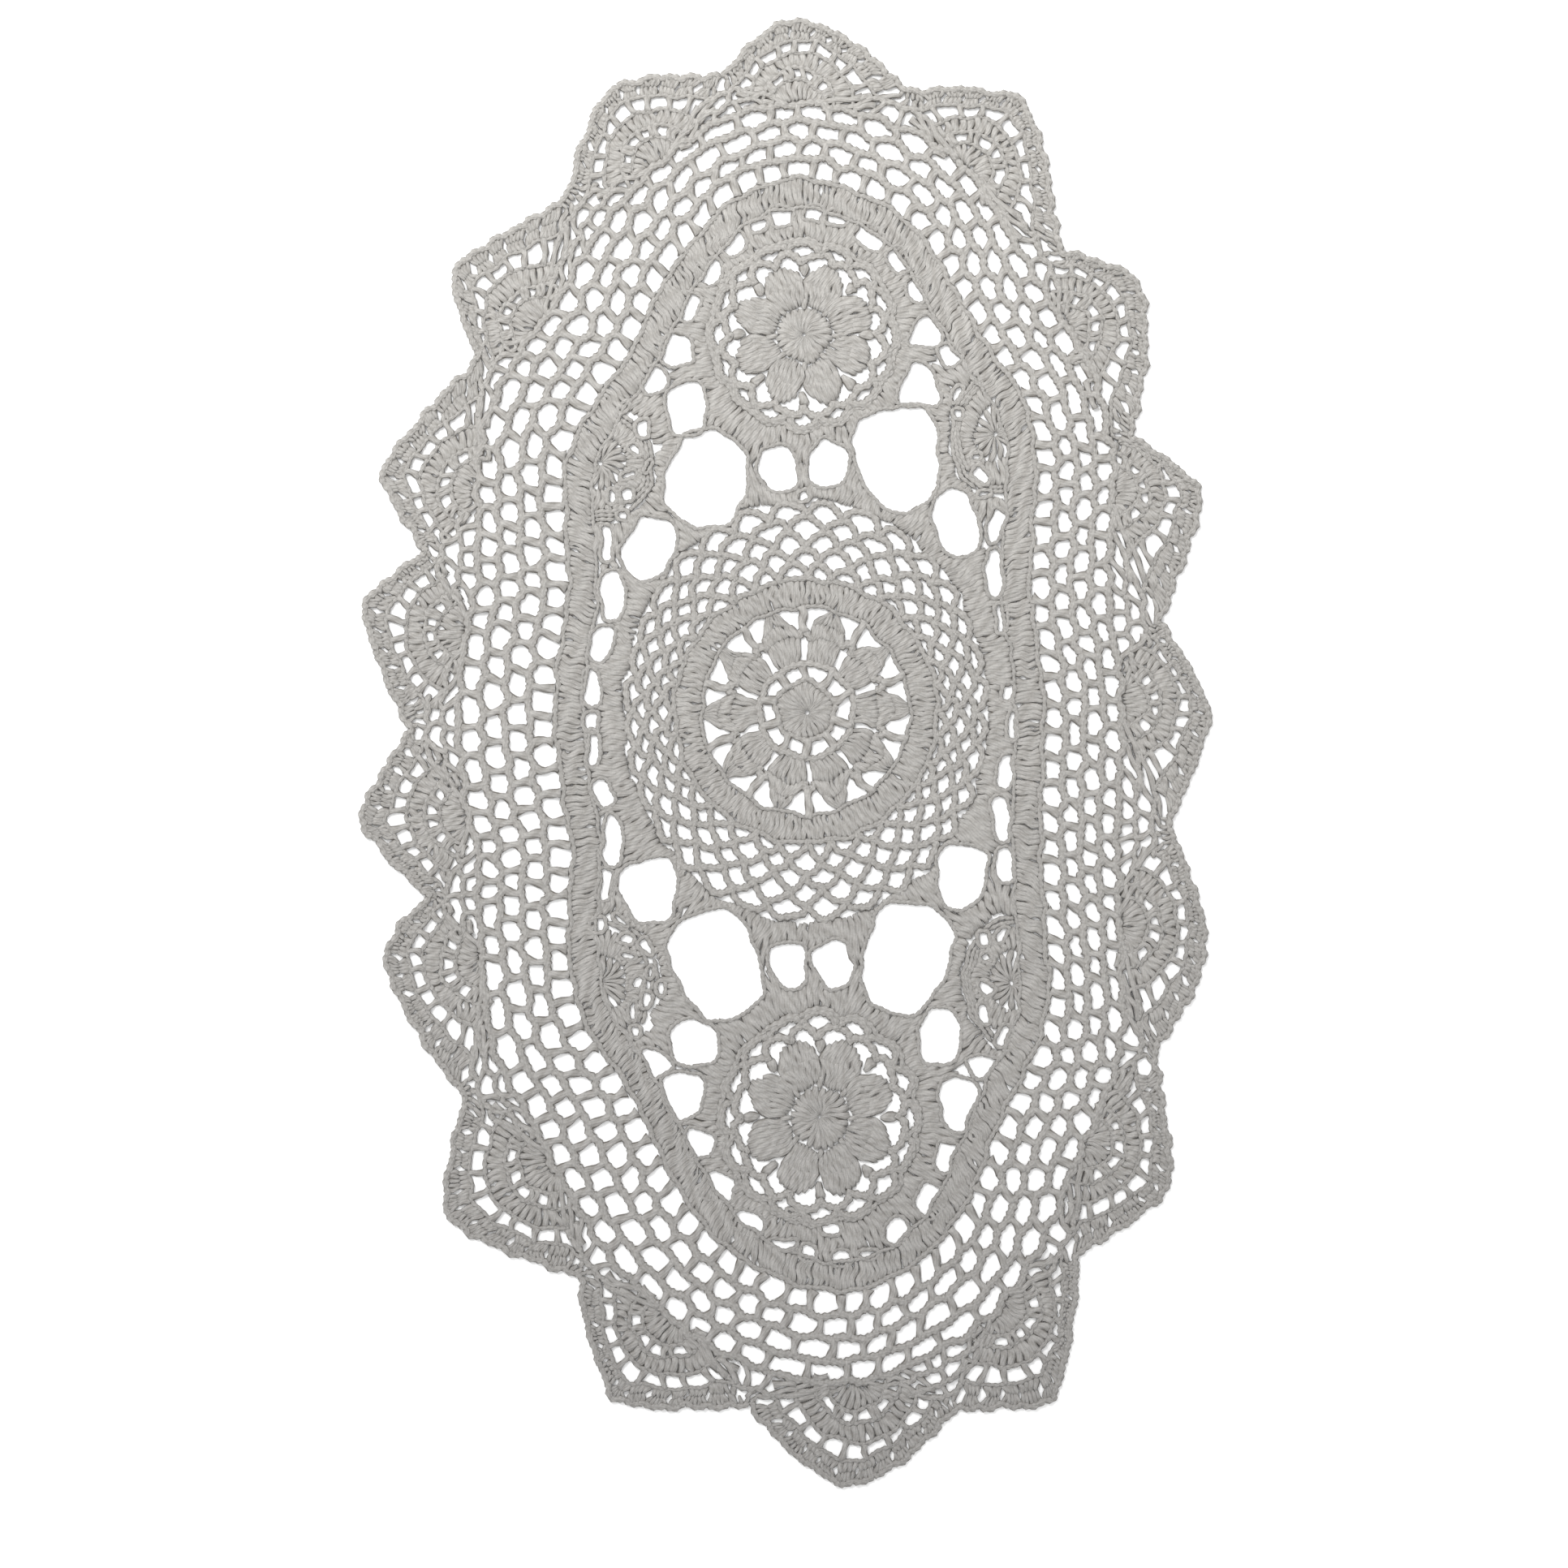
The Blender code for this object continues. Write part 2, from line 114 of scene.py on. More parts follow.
JOIN_HOLES = tuple(JoinHole(*row) for row in (
    (-26.2, 93.6, 27, 32, -14, -0.08), (39.2, 100.2, 27.5, 35, 12, 0.22), (-1.8, 97.2, 12.5, 15.5, 10),
    (15.4, 98.6, 13.5, 15.5, -10), (-33, 117.4, 12.8, 18, 0, 0.12), (46.3, 125.8, 12, 15, 0, -0.4),
    (-46, 70.1, 16.5, 21.5, -24), (58.8, 78.6, 14.5, 22.5, 12), (-58.3, 53.4, 7.5, 17, 3),
    (-62.1, 37.4, 7, 11.5, -14), (-65.4, 22.3, 5, 13, 8), (-61.3, -13.7, 5.6, 10, 18),
    (-58.2, -29.5, 6.2, 17, -2), (-60.7, -44.6, 4.8, 10.5, -10), (72.3, 77.6, 4.6, 10.5, -12),
    (71.5, 61.8, 5, 16.5, 4), (75.4, -6, 5.4, 12.5, -12), (74.2, -22.5, 5.6, 15.5, 4),
    (75.1, -38, 5.4, 11.5, 8), (60.4, -41.9, 16, 22, -12, 0.18), (-45.5, -46.9, 18.5, 22, 14, 0.25),
    (-22.6, -72, 28, 37.5, 22, 0.1), (41.5, -69.8, 28, 37.5, -18, 0.12),
    (1.8, -72.3, 11.5, 15.5, 8, 0.3), (17.3, -72.3, 12.5, 16, 14, 0.3), (-30.4, -98.6, 15.8, 15.5, 0),
    (53.4, -96.4, 13.6, 19, -4), (-33.9, -117.1, 12.5, 16, 0, 0.4), (59.2, -119.2, 12, 18, 0, 0.2),
    (-28.6, -132.9, 9.5, 9.8, 0), (-21.9, -147.3, 11.2, 9.8, -20), (-12, -159.8, 10.8, 7.6, -28),
    (19.8, -172, 5.6, 5, 0), (38.3, -162.4, 8.6, 7, 22), (49.8, -152.2, 9, 10.6, -24),
    (55.6, -137.4, 7.6, 10.8, -8), (67.3, -106.9, 8.4, 7.6, 0, 0.5),
    (-44.3, -106.2, 9.4, 8.8, -35, 0.35), (-44.2, 127, 7.6, 8, 0), (-36.6, 137.6, 10.2, 10.2, 0, -0.35),
    (-32.5, 152.2, 7.2, 9.2, -10), (-25.6, 163.6, 9.4, 7, 25), (-17, 173.2, 8.6, 6, 25),
    (-0.7, 182.9, 6.8, 6.2, 0), (10.4, 183.7, 6.8, 5.2, -12), (29, 176, 10.4, 7.2, -26),
    (39.1, 167.7, 6.4, 8, 30), (45.2, 157.7, 6, 8.6, 8), (48.5, 143.9, 9.2, 11, -6, -0.45),
    (56.5, 135.9, 7, 7.2, 30),
))

SMALL_HOLES = tuple(JoinHole(*row) for row in (
    (6.8, 87.8, 3.9, 3.9, 0), (0.1, -166.9, 8.3, 3.6, 0), (76.5, 21.2, 4.1, 5.5, 0),
    (77.6, 9.8, 3, 10, 0), (-64.8, 1.8, 3.6, 13.3, 0), (-65.4, 10.9, 5.5, 6.1, 0),
    (-8.7, 179.9, 6.1, 3.6, 20), (74.2, 46, 3.9, 10.5, 0), (18.1, 182.6, 6.6, 4.4, -15),
    (-60.1, 71.5, 4.4, 11.6, 0), (68.4, -62.9, 4.4, 5, 0), (74.4, -61.6, 3, 5.5, -20),
    (68.4, -69.7, 3.6, 3, 30), (69, -79.9, 5.2, 3, -35), (68, -88.3, 4, 8, 8), (75.2, -96, 4.6, 7, -30),
    (-48, 110.2, 3.7, 6.5, 15), (-50.6, 103.7, 4.4, 2.7, -40), (-43.1, 104.5, 1.6, 2.6, 0),
    (-46, 98, 1.8, 4, -20), (-52.5, 95, 4.8, 2.3, 25), (-53.3, 87.7, 4.6, 4.6, 0),
    (-58.8, 87.9, 2.5, 5.5, -20), (-54.7, 81, 3.6, 2.6, 0), (-53.9, 117.9, 3.4, 2.2, 40),
    (60, 115.6, 2.8, 4, 0), (65.4, 100.7, 3.6, 2.8, 0), (67.1, 94.6, 5.6, 4.2, -35),
    (68, 88.6, 3.8, 2, 0), (58.8, 122.5, 1.8, 6, -25), (65.9, 127.6, 1.7, 4.2, 30),
    (-63, -58.4, 4.9, 4.7, 0), (-55.4, -56.7, 5, 2, -30), (-53.7, -63.3, 4.7, 3.6, -25),
    (-46.9, -65.6, 5.6, 3.4, -45), (-52.8, -69.3, 4.2, 2, 0), (-45.6, -73.9, 1.7, 4, 0),
    (-49.2, -78.2, 3.2, 4.8, -20), (-42.1, -80.1, 2.2, 4, 0), (-46.7, -84.1, 3.6, 5.4, 0),
    (-51.6, -87.7, 2.3, 5.5, 0), (-50.5, -94, 2.5, 3.6, 0), (-45.8, -92.3, 1.7, 3.4, -20),
    (-54.5, -97.2, 3.4, 6, 35), (8.1, -170.2, 5.4, 5, -20), (29, -170.6, 6.8, 2.4, 5),
    (16.2, -162, 6, 3.6, 0), (3.6, -157.6, 5.6, 3, -20),
))


def polar(x: float, y: float, radius: np.ndarray, angle: np.ndarray) -> Plan:
    """Points at a radius and an angle about (x, y)."""
    return np.stack([x + radius * np.cos(angle), y + radius * np.sin(angle)], axis=-1)


def full_turn(count: int) -> np.ndarray:
    """Angles evenly round a full turn, from 0."""
    return np.linspace(0.0, TAU, count, endpoint=False)


def spread(count: int) -> np.ndarray:
    """Angles evenly round a full turn, from half a step."""
    return TAU * (np.arange(count) + 0.5) / count


def blend(first: np.ndarray, last: np.ndarray, share: np.ndarray) -> np.ndarray:
    """Values between two others: first * (1 - share) + last * share."""
    return first * (1.0 - share) + last * share


def ellipse_radius(half_x: float, half_y: float, angle: np.ndarray) -> np.ndarray:
    """Radius of an ellipse at an angle: 1 / sqrt((cos / half_x)^2 + (sin / half_y)^2)."""
    return 1.0 / np.sqrt((np.cos(angle) / half_x) ** 2 + (np.sin(angle) / half_y) ** 2)


class Route:
    """A line in plan that is read by a number running from 0 to `cells` along its length."""

    def __init__(self, points: Plan, cells: float, closed: bool = True) -> None:
        """Measures the line.

        Args:
            points: the line's corners in order.
            cells: the number that the line's end is read by.
            closed: whether the last corner joins the first.
        """
        self.points = np.concatenate([points, points[:1]]) if closed else points
        steps = np.linalg.norm(np.diff(self.points, axis=0), axis=1)
        self.marks = np.concatenate([[0.0], np.cumsum(steps)])
        self.cells = cells
        self.closed = closed

    @property
    def length(self) -> float:
        """The line's length."""
        return float(self.marks[-1])

    def at(self, cell: np.ndarray) -> Plan:
        """Points at cell numbers, straight between the two nearest corners."""
        share = np.asarray(cell, float) / self.cells
        share = np.mod(share, 1.0) if self.closed else np.clip(share, 0.0, 1.0)
        target = share * self.length
        return np.stack([np.interp(target, self.marks, self.points[:, axis]) for axis in (0, 1)], axis=-1)


def smooth_closed(points: Plan, steps: int) -> Plan:
    """A smooth closed line: each span is a cubic that keeps its neighbours' slope.

    Args:
        points: the corners that the line passes through.
        steps: points for each span.

    Returns:
        The line's points.
    """
    before, start, end, after = (np.roll(points, shift, axis=0)[:, None] for shift in (1, 0, -1, -2))
    u = np.linspace(0.0, 1.0, steps, endpoint=False)[None, :, None]
    line = 0.5 * (2 * start + (end - before) * u + (2 * before - 5 * start + 4 * end - after) * u ** 2
                  + (3 * start - before - 3 * end + after) * u ** 3)
    return line.reshape(-1, 2)


def set_off(line: Plan, distance: float) -> Plan:
    """A closed clockwise line moved sideways; a positive distance is outwards."""
    along = np.roll(line, -1, axis=0) - np.roll(line, 1, axis=0)
    along /= np.linalg.norm(along, axis=1, keepdims=True)
    return line + distance * np.stack([-along[:, 1], along[:, 0]], axis=1)


@dataclass
class MatPlan:
    """Where the parts of the crochet lie: the band's line, the net's cells and the scalloped edge."""

    net_cells: int = 102
    band_width: float = 9.5
    curve_steps: int = 12
    net_shares: tuple[float, ...] = (0.012, 0.13, 0.247, 0.362, 0.472)
    valley_edging: float = 5.6

    def __post_init__(self) -> None:
        """Works out the band's two edges and the table of scallops as arrays."""
        middle = smooth_closed(np.array(BAND, float), self.curve_steps)
        self.outer_edge = Route(set_off(middle, self.band_width / 2), self.net_cells)
        self.inner_edge = Route(set_off(middle, -self.band_width / 2), self.net_cells)
        table = np.array(SCALLOPS, float)
        self.valleys = table[:, 0:2]
        self.tips = table[:, 2:4]
        self.cells = table[:, 4]
        self.tip_shares = table[:, 5]
        self.roundness = table[:, 6]
        start = -self.tip_shares[0] * self.cells[0]
        self.valley_cells = start + np.concatenate([[0.0], np.cumsum(self.cells)])
        self.tip_cells = self.valley_cells[:-1] + self.tip_shares * self.cells
        self.tip_depths = np.linalg.norm(self.tips - self.outer_edge.at(self.tip_cells), axis=1)

    def edge(self, index: np.ndarray, across: np.ndarray) -> Plan:
        """Points on scallops' edges.

        The edge is the straight side from tip to valley, lifted by (a - a ** roundness) of the
        scallop's height, where a is the distance from the tip as a share.

        Args:
            index: number of the scallop.
            across: -1 at its left valley, 0 at its tip and 1 at its right valley.

        Returns:
            The points.
        """
        index, across = np.broadcast_arrays(np.asarray(index, int), np.asarray(across, float))
        following = (index + 1) % len(SCALLOPS)
        left, right, tip = self.valleys[index], self.valleys[following], self.tips[index]
        chord = right - left
        chord = chord / np.linalg.norm(chord, axis=-1, keepdims=True)
        out = np.stack([-chord[..., 1], chord[..., 0]], axis=-1)
        height = np.sum((tip - left) * out, axis=-1)
        side = np.where((across < 0)[..., None], left, right)
        share = np.abs(across)
        lift = (share - share ** self.roundness[index]) * height
        return tip + share[..., None] * (side - tip) + lift[..., None] * out

    def edge_at(self, cell: np.ndarray) -> Plan:
        """The points of the scalloped edge that stand over cells of the net."""
        turn = np.mod(np.asarray(cell, float) - self.valley_cells[0], self.net_cells) + self.valley_cells[0]
        index = np.clip(np.searchsorted(self.valley_cells, turn, side="right") - 1, 0, len(SCALLOPS) - 1)
        share = (turn - self.valley_cells[index]) / self.cells[index]
        tip = self.tip_shares[index]
        across = np.where(share < tip, share / tip - 1.0, (share - tip) / (1.0 - tip))
        return self.edge(index, across)

    def reach(self, cell: np.ndarray) -> np.ndarray:
        """How deep the net and border are at cells, from tip to tip, without the dips at valleys."""
        return np.interp(np.asarray(cell, float), self.tip_cells, self.tip_depths, period=self.net_cells)

    def ground(self, cell: np.ndarray, depth: np.ndarray) -> Plan:
        """Points in the net at a depth outside the band, on the straight line to the edge over them."""
        foot = self.outer_edge.at(cell)
        away = self.edge_at(cell) - foot
        away /= np.linalg.norm(away, axis=-1, keepdims=True)
        return foot + away * np.asarray(depth, float)[..., None]

    def net_depth(self, cell: np.ndarray, line: int) -> np.ndarray:
        """Depth of a full round of the net at cells, as a share of the reach there."""
        return self.net_shares[line] * self.reach(cell)

    def valley_foot(self, index: int) -> Plan:
        """The point of the last full round that lies under a valley."""
        cell = self.valley_cells[index]
        return self.ground(cell, self.net_depth(cell, len(self.net_shares) - 1))

    def inside_band(self, points: Plan, margin: float = 0.0) -> np.ndarray:
        """Whether points lie inside the band's inner edge, read as a radius about the mat's middle."""
        edge = self.inner_edge.points
        angle = np.arctan2(edge[:, 1], edge[:, 0])
        order = np.argsort(angle)
        radius = np.interp(np.arctan2(points[..., 1], points[..., 0]), angle[order],
                           np.linalg.norm(edge, axis=1)[order], period=TAU)
        return np.linalg.norm(points, axis=-1) < radius - margin


PLAN = MatPlan()


# Yarn
@dataclass(frozen=True)
class StrandShape:
    """How one kind of strand is worked, in millimetres; flare widens its ends, below 0 it narrows them."""

    width: float
    height: float
    stitch: float = 2.1
    relief: float = 0.16
    sway: float = 0.0
    lift: float = 0.0
    flare: float = -0.42


class Stitch(Enum):
    """The kinds of strand in the mat: tall stitches (posts) and chains (cords)."""

    BAND_POST = StrandShape(width=1.9, height=1.5, relief=0.14, sway=0.30, lift=0.25)
    FAN_POST = StrandShape(width=1.85, height=1.4, relief=0.14, sway=0.16, lift=0.25)
    NET_BAR = StrandShape(width=2.6, height=1.9, relief=0.20, sway=0.10, lift=0.1, flare=0.5)
    NET_CHAIN = StrandShape(width=2.8, height=1.9, stitch=2.7, relief=0.34, lift=0.2)
    VALLEY_BAR = StrandShape(width=2.0, height=1.8, relief=0.20, sway=0.10, lift=0.1, flare=0.35)
    VALLEY_CHAIN = StrandShape(width=2.1, height=1.8, stitch=2.5, relief=0.30, lift=0.15)
    HEAD_CHAIN = StrandShape(width=2.0, height=1.45, stitch=2.5, relief=0.36, lift=0.35)
    ARC_CHAIN = StrandShape(width=1.6, height=1.5, stitch=2.4, relief=0.36, lift=0.2)
    RIM_CHAIN = StrandShape(width=1.4, height=1.5, stitch=2.2, relief=0.32, lift=0.25)
    THIN_CHAIN = StrandShape(width=1.6, height=1.5, stitch=2.2, relief=0.25, lift=0.2)
    ARCH_CHAIN = StrandShape(width=2.5, height=1.7, stitch=2.5, relief=0.34, lift=0.25)
    LOOP_CHAIN = StrandShape(width=2.75, height=1.7, stitch=2.6, relief=0.34, lift=0.25)
    EDGE_CHAIN = StrandShape(width=2.3, height=1.9, stitch=2.5, relief=0.38, lift=0.15)


# Angles round a strand's section: five corners over its top and two under it
SECTION = np.radians([0.0, 42.0, 90.0, 138.0, 180.0, 238.0, 302.0])
CROWN = 2.0 / 7.0  # the share round a strand, counted by corners, at which its top lies
UNDERSIDE = 0.78  # how far the corners under a strand are drawn in, where 1 leaves the section round
CLOTH_LEVEL = -0.16  # mean level of the cloth, which lets its lowest strands touch the table
POST_RINGS = 7
ROW_RINGS = 6
SHORT_RINGS = 5
TWIST_LENGTH = 6.5  # length of a tall stitch for each turn of its sway
HAND_SIZE = (0.94, 1.06)  # how much tall stitches differ in thickness
SLIT_WIDTH = 0.68  # how far two stitches part where a slit opens
SLIT_PLACE = (0.08, 0.34)  # how far from the stitches' ends a slit lies, as a share of their length
SLIT_REACH = (0.8, 1.5)  # half the length of a slit
SLIT_STITCH = 4.0  # stitches shorter than this get slits that are shorter too
LEAST_WIDTH = 0.45
ROW_ROOM = 0.6  # the least width of a stitch in a row
ROW_MOST = 1.5  # the most a stitch in a row may be widened
END_POWERS = (6.0, 3.0)  # how sharply the ends of stitches with a negative and a positive flare change
CHAIN_RINGS = 3  # rings for each stitch of a chain
CHAIN_LEAN = 0.42  # how far the legs of a chain's V lean back, in stitches
CHAIN_PULSE = 0.45  # how far a chain's outline follows its relief
CHAIN_TAPER = 0.45  # how much thinner an open chain is at its ends
CHAIN_WANDER = (0.06, 7.3)  # slow change of a chain's thickness, and its length in stitches
ROW_OVERLAP = 0.14  # how far a petal's row reaches into the row below it, as a share of its height


class Wave(NamedTuple):
    """A sine wave over the plan: size in millimetres, waves for each millimetre of x and y, and start."""

    size: float
    by_x: float
    by_y: float
    start: float


# The waves that move points across and along
HAND_WAVES = tuple(tuple(Wave(*row) for row in rows) for rows in (
    ((0.38, 0.061, 0.043, 0.7), (0.30, 0.027, -0.087, 2.1), (0.22, 0.021, 0.137, 4.0)),
    ((0.38, -0.047, 0.052, 1.9), (0.30, 0.083, 0.031, 5.2), (0.22, 0.129, -0.034, 0.4)),
))


def hand_sway(points: Plan) -> Plan:
    """The unevenness of hand work: crossed sine waves move every point a little, smoothly.

    Args:
        points: points in plan.

    Returns:
        The same points moved by up to about a millimetre.
    """
    x, y = points[..., 0], points[..., 1]
    moves = [sum(wave.size * np.sin(TAU * (wave.by_x * x + wave.by_y * y) + wave.start) for wave in waves)
             for waves in HAND_WAVES]
    return points + np.stack(moves, axis=-1)


def cloth_rise(points: Plan) -> np.ndarray:
    """How the cloth rises and falls in millimetres: crossed sine waves of up to 0.16 about its level."""
    x, y = points[..., 0], points[..., 1]
    wave = np.sin(TAU * (x / 93.0 + y / 131.0)) * np.sin(TAU * (y / 88.0 - x / 167.0) + 1.1)
    fine = np.sin(TAU * (x / 31.0 - y / 47.0) + 0.5) * np.sin(TAU * (y / 29.0) + 2.0)
    return CLOTH_LEVEL + 0.10 * wave + 0.06 * fine


class YarnWork:
    """Collects the strands of one zone of the crochet and makes them one mesh."""

    def __init__(self, name: str, seed: int) -> None:
        """Starts an empty zone.

        Args:
            name: name of the piece.
            seed: number that fixes the zone's small random differences.
        """
        self.name = name
        self.rng = np.random.default_rng(seed)
        self.points: list[np.ndarray] = []
        self.faces: list[np.ndarray] = []
        self.caps: list[np.ndarray] = []
        self.face_uvs: list[np.ndarray] = []
        self.cap_uvs: list[np.ndarray] = []
        self.tones: list[np.ndarray] = []
        self.ridges: list[np.ndarray] = []
        self.count = 0

    def _sweep(self, path: np.ndarray, width: np.ndarray, height: np.ndarray, swell: np.ndarray,
               along: np.ndarray, closed: bool) -> None:
        """Carries the section along strands that have the same number of rings.

        A corner at section angle a lies at width / 2 * cos(a) across the strand and height / 2 * sin(a)
        above it, both times the swell there; corners under the strand are drawn in.

        Args:
            path: middle lines, shape (strands, rings, 3), millimetres.
            width: widths, shape (strands, rings).
            height: heights, shape (strands, rings).
            swell: the relief, shape (strands, rings, corners).
            along: length along the yarn, shape (strands, rings), millimetres.
            closed: whether each strand joins its own start.
        """
        strands, rings = path.shape[:2]
        corners = len(SECTION)
        if closed:
            tangent = np.roll(path, -1, axis=1) - np.roll(path, 1, axis=1)
        else:
            tangent = np.gradient(path, axis=1)
        flat = tangent[..., :2] / np.maximum(np.linalg.norm(tangent[..., :2], axis=-1, keepdims=True), 1e-9)
        side = np.stack([flat[..., 1], -flat[..., 0]], axis=-1)
        across = 0.5 * width[..., None] * np.cos(SECTION) * swell
        up = 0.5 * height[..., None] * np.where(np.sin(SECTION) < 0, UNDERSIDE, swell) * np.sin(SECTION)
        plan = path[:, :, None, :2] + across[..., None] * side[:, :, None, :]
        points = np.concatenate([plan, (path[:, :, None, 2] + up)[..., None]], axis=-1)
        start = self.count + (np.arange(strands) * rings * corners)[:, None, None]
        ring = np.arange(rings if closed else rings - 1)[None, :, None]
        corner = np.arange(corners)[None, None, :]
        here, there = ring * corners, ((ring + 1) % rings) * corners
        right = (corner + 1) % corners
        faces = np.stack(np.broadcast_arrays(
            start + here + corner, start + there + corner, start + there + right, start + here + right,
        ), axis=-1)
        self.faces.append(faces.reshape(-1, 4))
        far = along[:, 1:] if not closed else np.concatenate(
            [along[:, 1:], along[:, -1:] + (along[:, 1:2] - along[:, :1])], axis=1)
        near = along if closed else along[:, :-1]
        near_u, far_u = near[:, :, None] + 0.0 * corner, far[:, :, None] + 0.0 * corner
        v0, v1 = (corner + 0.0 * near_u) / corners, (corner + 1.0 + 0.0 * near_u) / corners
        uvs = np.stack([np.stack([near_u, v0], -1), np.stack([far_u, v0], -1),
                        np.stack([far_u, v1], -1), np.stack([near_u, v1], -1)], axis=-2)
        self.face_uvs.append(uvs.reshape(-1, 2))
        if not closed:
            first = start[:, 0] + np.arange(corners)[None, :]
            last = start[:, 0] + (rings - 1) * corners + np.arange(corners)[None, ::-1]
            caps = np.concatenate([first, last])
            self.caps.append(caps)
            cap_u = np.concatenate([along[:, :1], along[:, -1:]]) + np.zeros((1, corners))
            cap_v = np.full_like(cap_u, 0.5)
            self.cap_uvs.append(np.stack([cap_u, cap_v], axis=-1).reshape(-1, 2))
        tone = self.rng.uniform(0.0, 1.0, strands)
        self.tones.append(np.repeat(tone, rings * corners))
        low, high = swell.min(), swell.max()
        self.ridges.append(((swell - low) / max(high - low, 1e-6) + 0.0 * across).ravel())
        self.points.append(points.reshape(-1, 3))
        self.count += strands * rings * corners

    def posts(self, base: Plan, top: Plan, stitch: Stitch, widths: tuple | None = None,
              rings: int = POST_RINGS, phase: np.ndarray | None = None, slits: float = 0.0) -> None:
        """Tall stitches from base to top: strands that sway a little and twist once or twice.

        Where a slit opens between two neighbours, both are narrower and lean away from it, by a bell
        curve exp(-((share - place) / reach) ** 2) along their length.

        Args:
            base: lower ends, shape (posts, 2).
            top: upper ends, shape (posts, 2).
            stitch: kind of strand.
            widths: widths at the base and at the top, each one number or one for each post.
            rings: rings along each post.
            phase: where each post's sway starts, in radians; random where it isn't given.
            slits: share of the neighbours that have a slit between them.
        """
        count = len(base)
        if count == 0:
            return
        shape = stitch.value
        share = np.linspace(0.0, 1.0, rings)[None, :]
        start = self.rng.uniform(0.0, TAU, (count, 1)) if phase is None else np.reshape(phase, (count, 1))
        size = self.rng.uniform(*HAND_SIZE, (count, 1))
        middle = blend(base[:, None], top[:, None], share[..., None])
        run = top - base
        length = np.linalg.norm(run, axis=1, keepdims=True)
        run = run / np.maximum(length, 1e-9)
        side = np.stack([-run[:, 1], run[:, 0]], axis=1)
        turns = np.maximum(1.0, length / TWIST_LENGTH)
        sway = shape.sway * np.sin(TAU * turns * share + start) * np.sin(np.pi * share) ** 0.5
        end = np.sign(self.rng.uniform(-1.0, 1.0, (count, 1)))
        place = 0.5 + end * (0.5 - self.rng.uniform(*SLIT_PLACE, (count, 1)))
        reach = self.rng.uniform(*SLIT_REACH, (count, 1)) / np.maximum(length, SLIT_STITCH)
        slit = (self.rng.uniform(0.0, 1.0, (count, 1)) < slits) * np.exp(-((share - place) / reach) ** 2)
        slit_before = np.concatenate([np.zeros((1, rings)), slit[:-1]])
        onward = np.roll(base + top, -1, axis=0) - (base + top)
        facing = np.sign(np.sum(side * onward, axis=1, keepdims=True))
        facing[-1] = facing[max(count - 2, 0)]
        sway = sway + 0.5 * SLIT_WIDTH * facing * (slit_before - slit)
        middle = hand_sway(middle + sway[..., None] * side[:, None])
        taper = 1.0 + shape.flare * np.abs(2.0 * share - 1.0) ** END_POWERS[shape.flare > 0]
        first, last = (shape.width, shape.width) if widths is None else widths
        first, last = np.reshape(first, (-1, 1)), np.reshape(last, (-1, 1))
        width = blend(first, last, share) * size * taper - SLIT_WIDTH * (slit + slit_before)
        width = np.maximum(width, LEAST_WIDTH)
        height = shape.height * size * np.minimum(taper, 1.0)
        twist = 0.5 * TAU * turns * share + start
        swell = 1.0 + shape.relief * np.cos(2.0 * SECTION - 2.0 * twist[..., None])
        z = cloth_rise(middle) + shape.lift + 0.5 * height
        path = np.concatenate([middle, z[..., None]], axis=-1)
        self._sweep(path, width, height, swell, share * length, closed=False)

    def row(self, base: Plan, top: Plan, stitch: Stitch, cover: float = 1.54, rings: int = POST_RINGS,
            slits: float = 0.0, phase: np.ndarray | None = None, closed: bool = False) -> None:
        """A row of tall stitches side by side, each as wide as the room between its neighbours.

        Args:
            base: lower ends in order, shape (posts, 2).
            top: upper ends in order.
            stitch: kind of strand.
            cover: a post's width as a share of the room.
            rings: rings along each post.
            slits: share of the neighbours that have a slit between them.
            phase: where each post's sway starts.
            closed: whether the row's last post stands beside its first.
        """
        if len(base) < 2:
            self.posts(base, top, stitch, rings=rings)
            return
        most = ROW_MOST * stitch.value.width
        widths = []
        for ends in (base, top):
            after = np.linalg.norm(np.roll(ends, -1, axis=0) - ends, axis=1)
            before = np.roll(after, 1)
            if not closed:
                after[-1], before[0] = before[-1], after[0]
            widths.append(np.clip(cover * np.minimum(after, before), ROW_ROOM, most))
        self.posts(base, top, stitch, (widths[0], widths[1]), rings, phase, slits)

    def cord(self, line: Plan, stitch: Stitch, closed: bool = False, bead: float = 0.0) -> None:
        """A chain along a line: each stitch swells and dips in a V, as a braid does.

        The surface rises by relief * cos(2 pi * (length / stitch - lean * |cos a|)), so the raised
        ridges lean towards the cord's two sides like the legs of a V.

        Args:
            line: corners of the line.
            stitch: kind of strand.
            closed: whether the chain joins its own start.
            bead: how much more each third stitch swells.
        """
        shape = stitch.value
        route = Route(line, 1.0, closed)
        stitches = max(2, int(round(route.length / shape.stitch)))
        rings = stitches * CHAIN_RINGS
        share = np.linspace(0.0, 1.0, rings, endpoint=not closed)
        middle = hand_sway(route.at(share * (1.0 if closed else 0.999999)))[None]
        count = (share * stitches)[None]
        beat = np.cos(TAU * count)
        size = 1.0 + CHAIN_WANDER[0] * np.sin(TAU * count / CHAIN_WANDER[1] + self.rng.uniform(0, TAU))
        taper = 1.0 if closed else 1.0 - CHAIN_TAPER * np.abs(2.0 * share - 1.0) ** (2.0 * stitches)
        width = shape.width * size * taper * (1.0 + CHAIN_PULSE * shape.relief * beat)
        height = shape.height * size * taper * (1.0 + bead * np.cos(TAU * count / 3.0))
        swell = 1.0 + shape.relief * np.cos(TAU * (count[..., None] - CHAIN_LEAN * np.abs(np.cos(SECTION))))
        z = cloth_rise(middle) + shape.lift + 0.5 * height
        path = np.concatenate([middle, z[..., None]], axis=-1)
